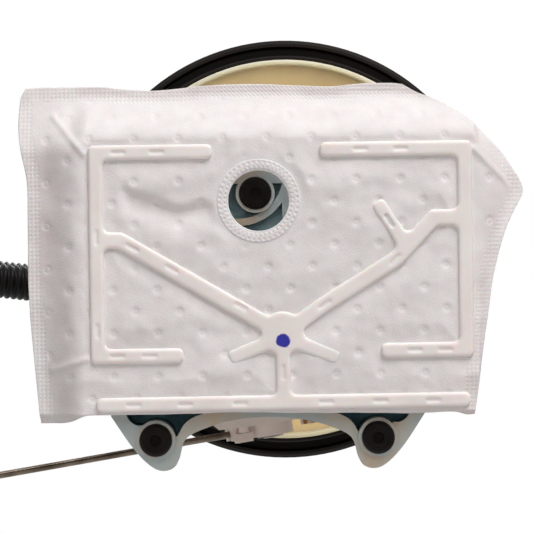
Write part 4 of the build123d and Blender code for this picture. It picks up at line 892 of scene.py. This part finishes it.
def add_bag():
    """Two sheets of nonwoven, welded round three sides and folded along the fourth."""
    columns, rows = BAG_MESH
    under, over, keep = [], [], []
    for j in range(rows + 1):
        height = FOLD_Y + (WELD_Y - FOLD_Y) * j / rows
        plus, minus = along_edge(PLUS, height), along_edge(MINUS, height)
        for i in range(columns + 1):
            x = minus + (plus - minus) * i / columns
            fold = along_edge(FRONT, x) + FOLD_INSET
            fold += FOLD_WANDER * noise.noise(Vector((x * 0.11, 0.4, 2.2)))
            y = fold * (1 - j / rows) + along_edge(BACK, x) * j / rows
            edge, rise, low = bag_heights(x, y)
            welded = smooth((WELD_WIDTH - edge) / WELD_SOFT)
            away = hypot(x - HOLE[0], y - HOLE[1])
            collar = smooth((away - HOLE_RADIUS - COLLAR_WIDTH) / COLLAR_RUN)
            low = low * collar + (rise + COLLAR_LEVEL) * (1 - collar)
            dent = bond_dent(x, y) * (1 - welded) * collar
            turn_a, turn_b = pi * (x + y) / EMBOSS_PITCH, pi * (x - y) / EMBOSS_PITCH
            pressed = EMBOSS_DEPTH * diamonds(turn_a, turn_b) * welded
            gap = POUCH_HEIGHT * smooth((edge - WELD_WIDTH) / POUCH_RUN)
            gap *= smooth((y - FOLD_Y + 1.5) / POUCH_FOLD_RUN)
            gap = SHEET_THICKNESS + max(gap - SHEET_THICKNESS, 0) * (1 - welded)
            gap = gap * collar + POUCH_HEIGHT * (1 - collar)
            place = Vector((x, y, 0))
            if away < HOLE_RADIUS + HOLE_SNAP:
                outward = Vector((x - HOLE[0], y - HOLE[1], 0))
                if outward.length > 0:
                    place = Vector((*HOLE, 0)) + outward.normalized() * max(HOLE_RADIUS, away)
            keep.append(away > HOLE_RADIUS - HOLE_CUT)
            under.append(mm(place.x, place.y, BAG_FLOOR + low + dent + pressed))
            over.append(mm(place.x, place.y, BAG_FLOOR + low + gap - dent))
    wide = columns + 1
    faces = []
    top = len(under)
    for j in range(rows):
        for i in range(columns):
            quad = (j * wide + i, j * wide + i + 1, (j + 1) * wide + i + 1, (j + 1) * wide + i)
            if all(keep[v] for v in quad):
                faces.append(tuple(reversed(quad)))
                faces.append(tuple(top + v for v in quad))
    edges = {}
    for face in faces:
        if face[0] >= top:
            continue
        for a, b in zip(face, face[1:] + face[:1]):
            edges[(a, b)] = edges.get((a, b), 0) + 1
    for a, b in list(edges):
        if (b, a) not in edges:
            faces.append((b, a, top + a, top + b))
    bag = add_piece("strainer_pouch", under + over, faces, "bag_fabric")
    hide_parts("strainer_bag")
    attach(bag, "base")


# the welded band round the hole; levels are heights above the bag's floor
BAND_WIDTH, BAND_LEVEL, BAND_BACK_LEVEL = 3.5, -1.95, 0.9
BAND_INNER_SHOULDER, BAND_OUTER_SHOULDER = 0.7, 0.9
BAND_TEETH, BAND_TOOTH_LENGTH, BAND_PRESS = 46, 1.5, 0.18
LIP_LEVEL, LIP_THICKNESS = -1.35, 0.22


def add_hole_ring():
    """Flat welded band round the bag's hole, pressed with small diamonds, and its thin bright edge."""
    around, steps = BAND_TEETH * 14, 16
    inner = HOLE_RADIUS + 0.1
    rings = []
    for i in range(around):
        angle = tau * i / around
        outward = Vector((cos(angle), sin(angle), 0))
        ring = []
        for k in range(steps + 1):
            share = k / steps
            reach = inner + BAND_WIDTH * share
            shoulder = BAND_INNER_SHOULDER * (1 - smooth(share * 7))
            shoulder += BAND_OUTER_SHOULDER * (1 - smooth((1 - share) * 4))
            turn, slant = BAND_TEETH * angle / 2, pi * reach / BAND_TOOTH_LENGTH
            dent = BAND_PRESS * diamonds(turn + slant, turn - slant)
            ring.append(mm(*HOLE, BAG_FLOOR + BAND_LEVEL + shoulder + dent) + outward * reach * MM)
        for reach in (inner + BAND_WIDTH, inner):
            ring.append(mm(*HOLE, BAG_FLOOR + BAND_BACK_LEVEL) + outward * reach * MM)
        rings.append(ring)
    ring = add_piece("hole_ring", *skin(rings, closed=True), "bag_fabric")
    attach(ring, "base")
    lip = hoop_rings(mm(*HOLE, BAG_FLOOR + LIP_LEVEL), HOLE_RADIUS + 0.12, LIP_THICKNESS, 180)
    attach(add_piece("hole_lip", *skin(lip, closed=True), "runner_plastic"), "base")


add_bag()
add_hole_ring()

# ---------------------------------------------------------------- runners

BRANCH_SLOT = (-26.6, 6.0)
BRANCH_TURN = radians(57)
RUNNER_FACE = -185.0
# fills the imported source's slot, which is turned the wrong way
PLUG_SIZE = (5.6, 3.1, 1.3)
# the slot as the photo has it: half its straight length, its half width, the softness of its rim, its depth
SLOT_HALF, SLOT_MOUTH, SLOT_RIM, SLOT_DEPTH = 1.55, 0.25, 0.55, 0.5
# only points this close above the face are pressed
SLOT_SKIN = 0.7
# voxel size in mm and smoothing steps
MOULD_FINE, MOULD_QUICK = (0.26, 18), (0.42, 6)
# the middle of each runner: half its width, its softness, and the share by which it is brought to the face
CHANNEL_HALF, CHANNEL_SOFT, CHANNEL_FILL = 0.9, 0.5, 0.4
# only points lower than this above the face are moved, and those this much lower still by the full share
CHANNEL_TOP, CHANNEL_RUN = 1.6, 1.2


def add_runners():
    """The runners with the soft edges of a small moulding, welded through the bag."""
    solid = bmesh.new()
    solid.from_mesh(nodes["strainer_frame"].data)
    place = Matrix.Translation(mm(*BRANCH_SLOT, RUNNER_FACE + PLUG_SIZE[2] / 2))
    plug = place @ Matrix.Rotation(BRANCH_TURN, 4, "Z") @ Matrix.Diagonal((*mm(*PLUG_SIZE), 1))
    bmesh.ops.create_cube(solid, size=1.0, matrix=plug)
    mesh = bpy.data.meshes.new("runner_mould")
    solid.to_mesh(mesh)
    solid.free()
    mould = bpy.data.objects.new("runner_mould", mesh)
    bpy.context.scene.collection.objects.link(mould)
    remesh = mould.modifiers.new("skin", "REMESH")
    remesh.mode = "VOXEL"
    voxel, steps = MOULD_FINE
    remesh.voxel_size = voxel * MM
    soften = mould.modifiers.new("soften", "SMOOTH")
    soften.factor = 0.5
    soften.iterations = steps
    bpy.context.view_layer.update()
    soft = bpy.data.meshes.new_from_object(mould.evaluated_get(bpy.context.evaluated_depsgraph_get()))
    bpy.data.objects.remove(mould)
    along = Vector((cos(BRANCH_TURN), sin(BRANCH_TURN)))
    middle = Vector(BRANCH_SLOT)
    points = []
    for vertex in soft.vertices:
        x, y, z = vertex.co / MM
        reach = abs((Vector((x, y)) - middle).dot(along))
        aside = hypot(max(reach - SLOT_HALF, 0), (Vector((x, y)) - middle).cross(along))
        deep = z - RUNNER_FACE
        if deep < SLOT_SKIN:
            deep += SLOT_DEPTH * (1 - smooth((aside - SLOT_MOUTH) / SLOT_RIM))
        channel = min(to_line(x, y, *line) for line in RUNNER_LINES)
        inside = 1 - smooth((channel - CHANNEL_HALF) / CHANNEL_SOFT)
        z = RUNNER_FACE + deep * (1 - CHANNEL_FILL * inside * smooth((CHANNEL_TOP - deep) / CHANNEL_RUN))
        points.append(mm(x, y, z))
    faces = [tuple(face.vertices) for face in soft.polygons]
    runners = add_piece("soft_runners", points, faces, "runner_plastic")
    bpy.data.meshes.remove(soft)
    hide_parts("strainer_frame")
    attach(runners, "base")


add_runners()

# ---------------------------------------------------------------- feet

FEET = {"left": (37.1, -52.5), "right": (-23.3, -52.5), "rear": (9.2, 14.2)}
FOOT_FLOOR = -176.0
FOOT_RING_SIZES, FOOT_RING_THICKNESS, FOOT_RING_STEPS = (2.1, 2.8, 3.4), 0.16, 72


def add_foot_rings():
    """Raised concentric rings moulded on the underside of each foot."""
    for name, (x, y) in FEET.items():
        for size in FOOT_RING_SIZES:
            rings = hoop_rings(mm(x, y, FOOT_FLOOR + 0.02), size, FOOT_RING_THICKNESS, FOOT_RING_STEPS)
            ring = add_piece("foot_ring_%s_%d" % (name, size * 10), *skin(rings, closed=True), "foot_rubber")
            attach(ring, "base")


add_foot_rings()

# ---------------------------------------------------------------- view transform

bpy.context.scene.view_settings.view_transform = "Standard"
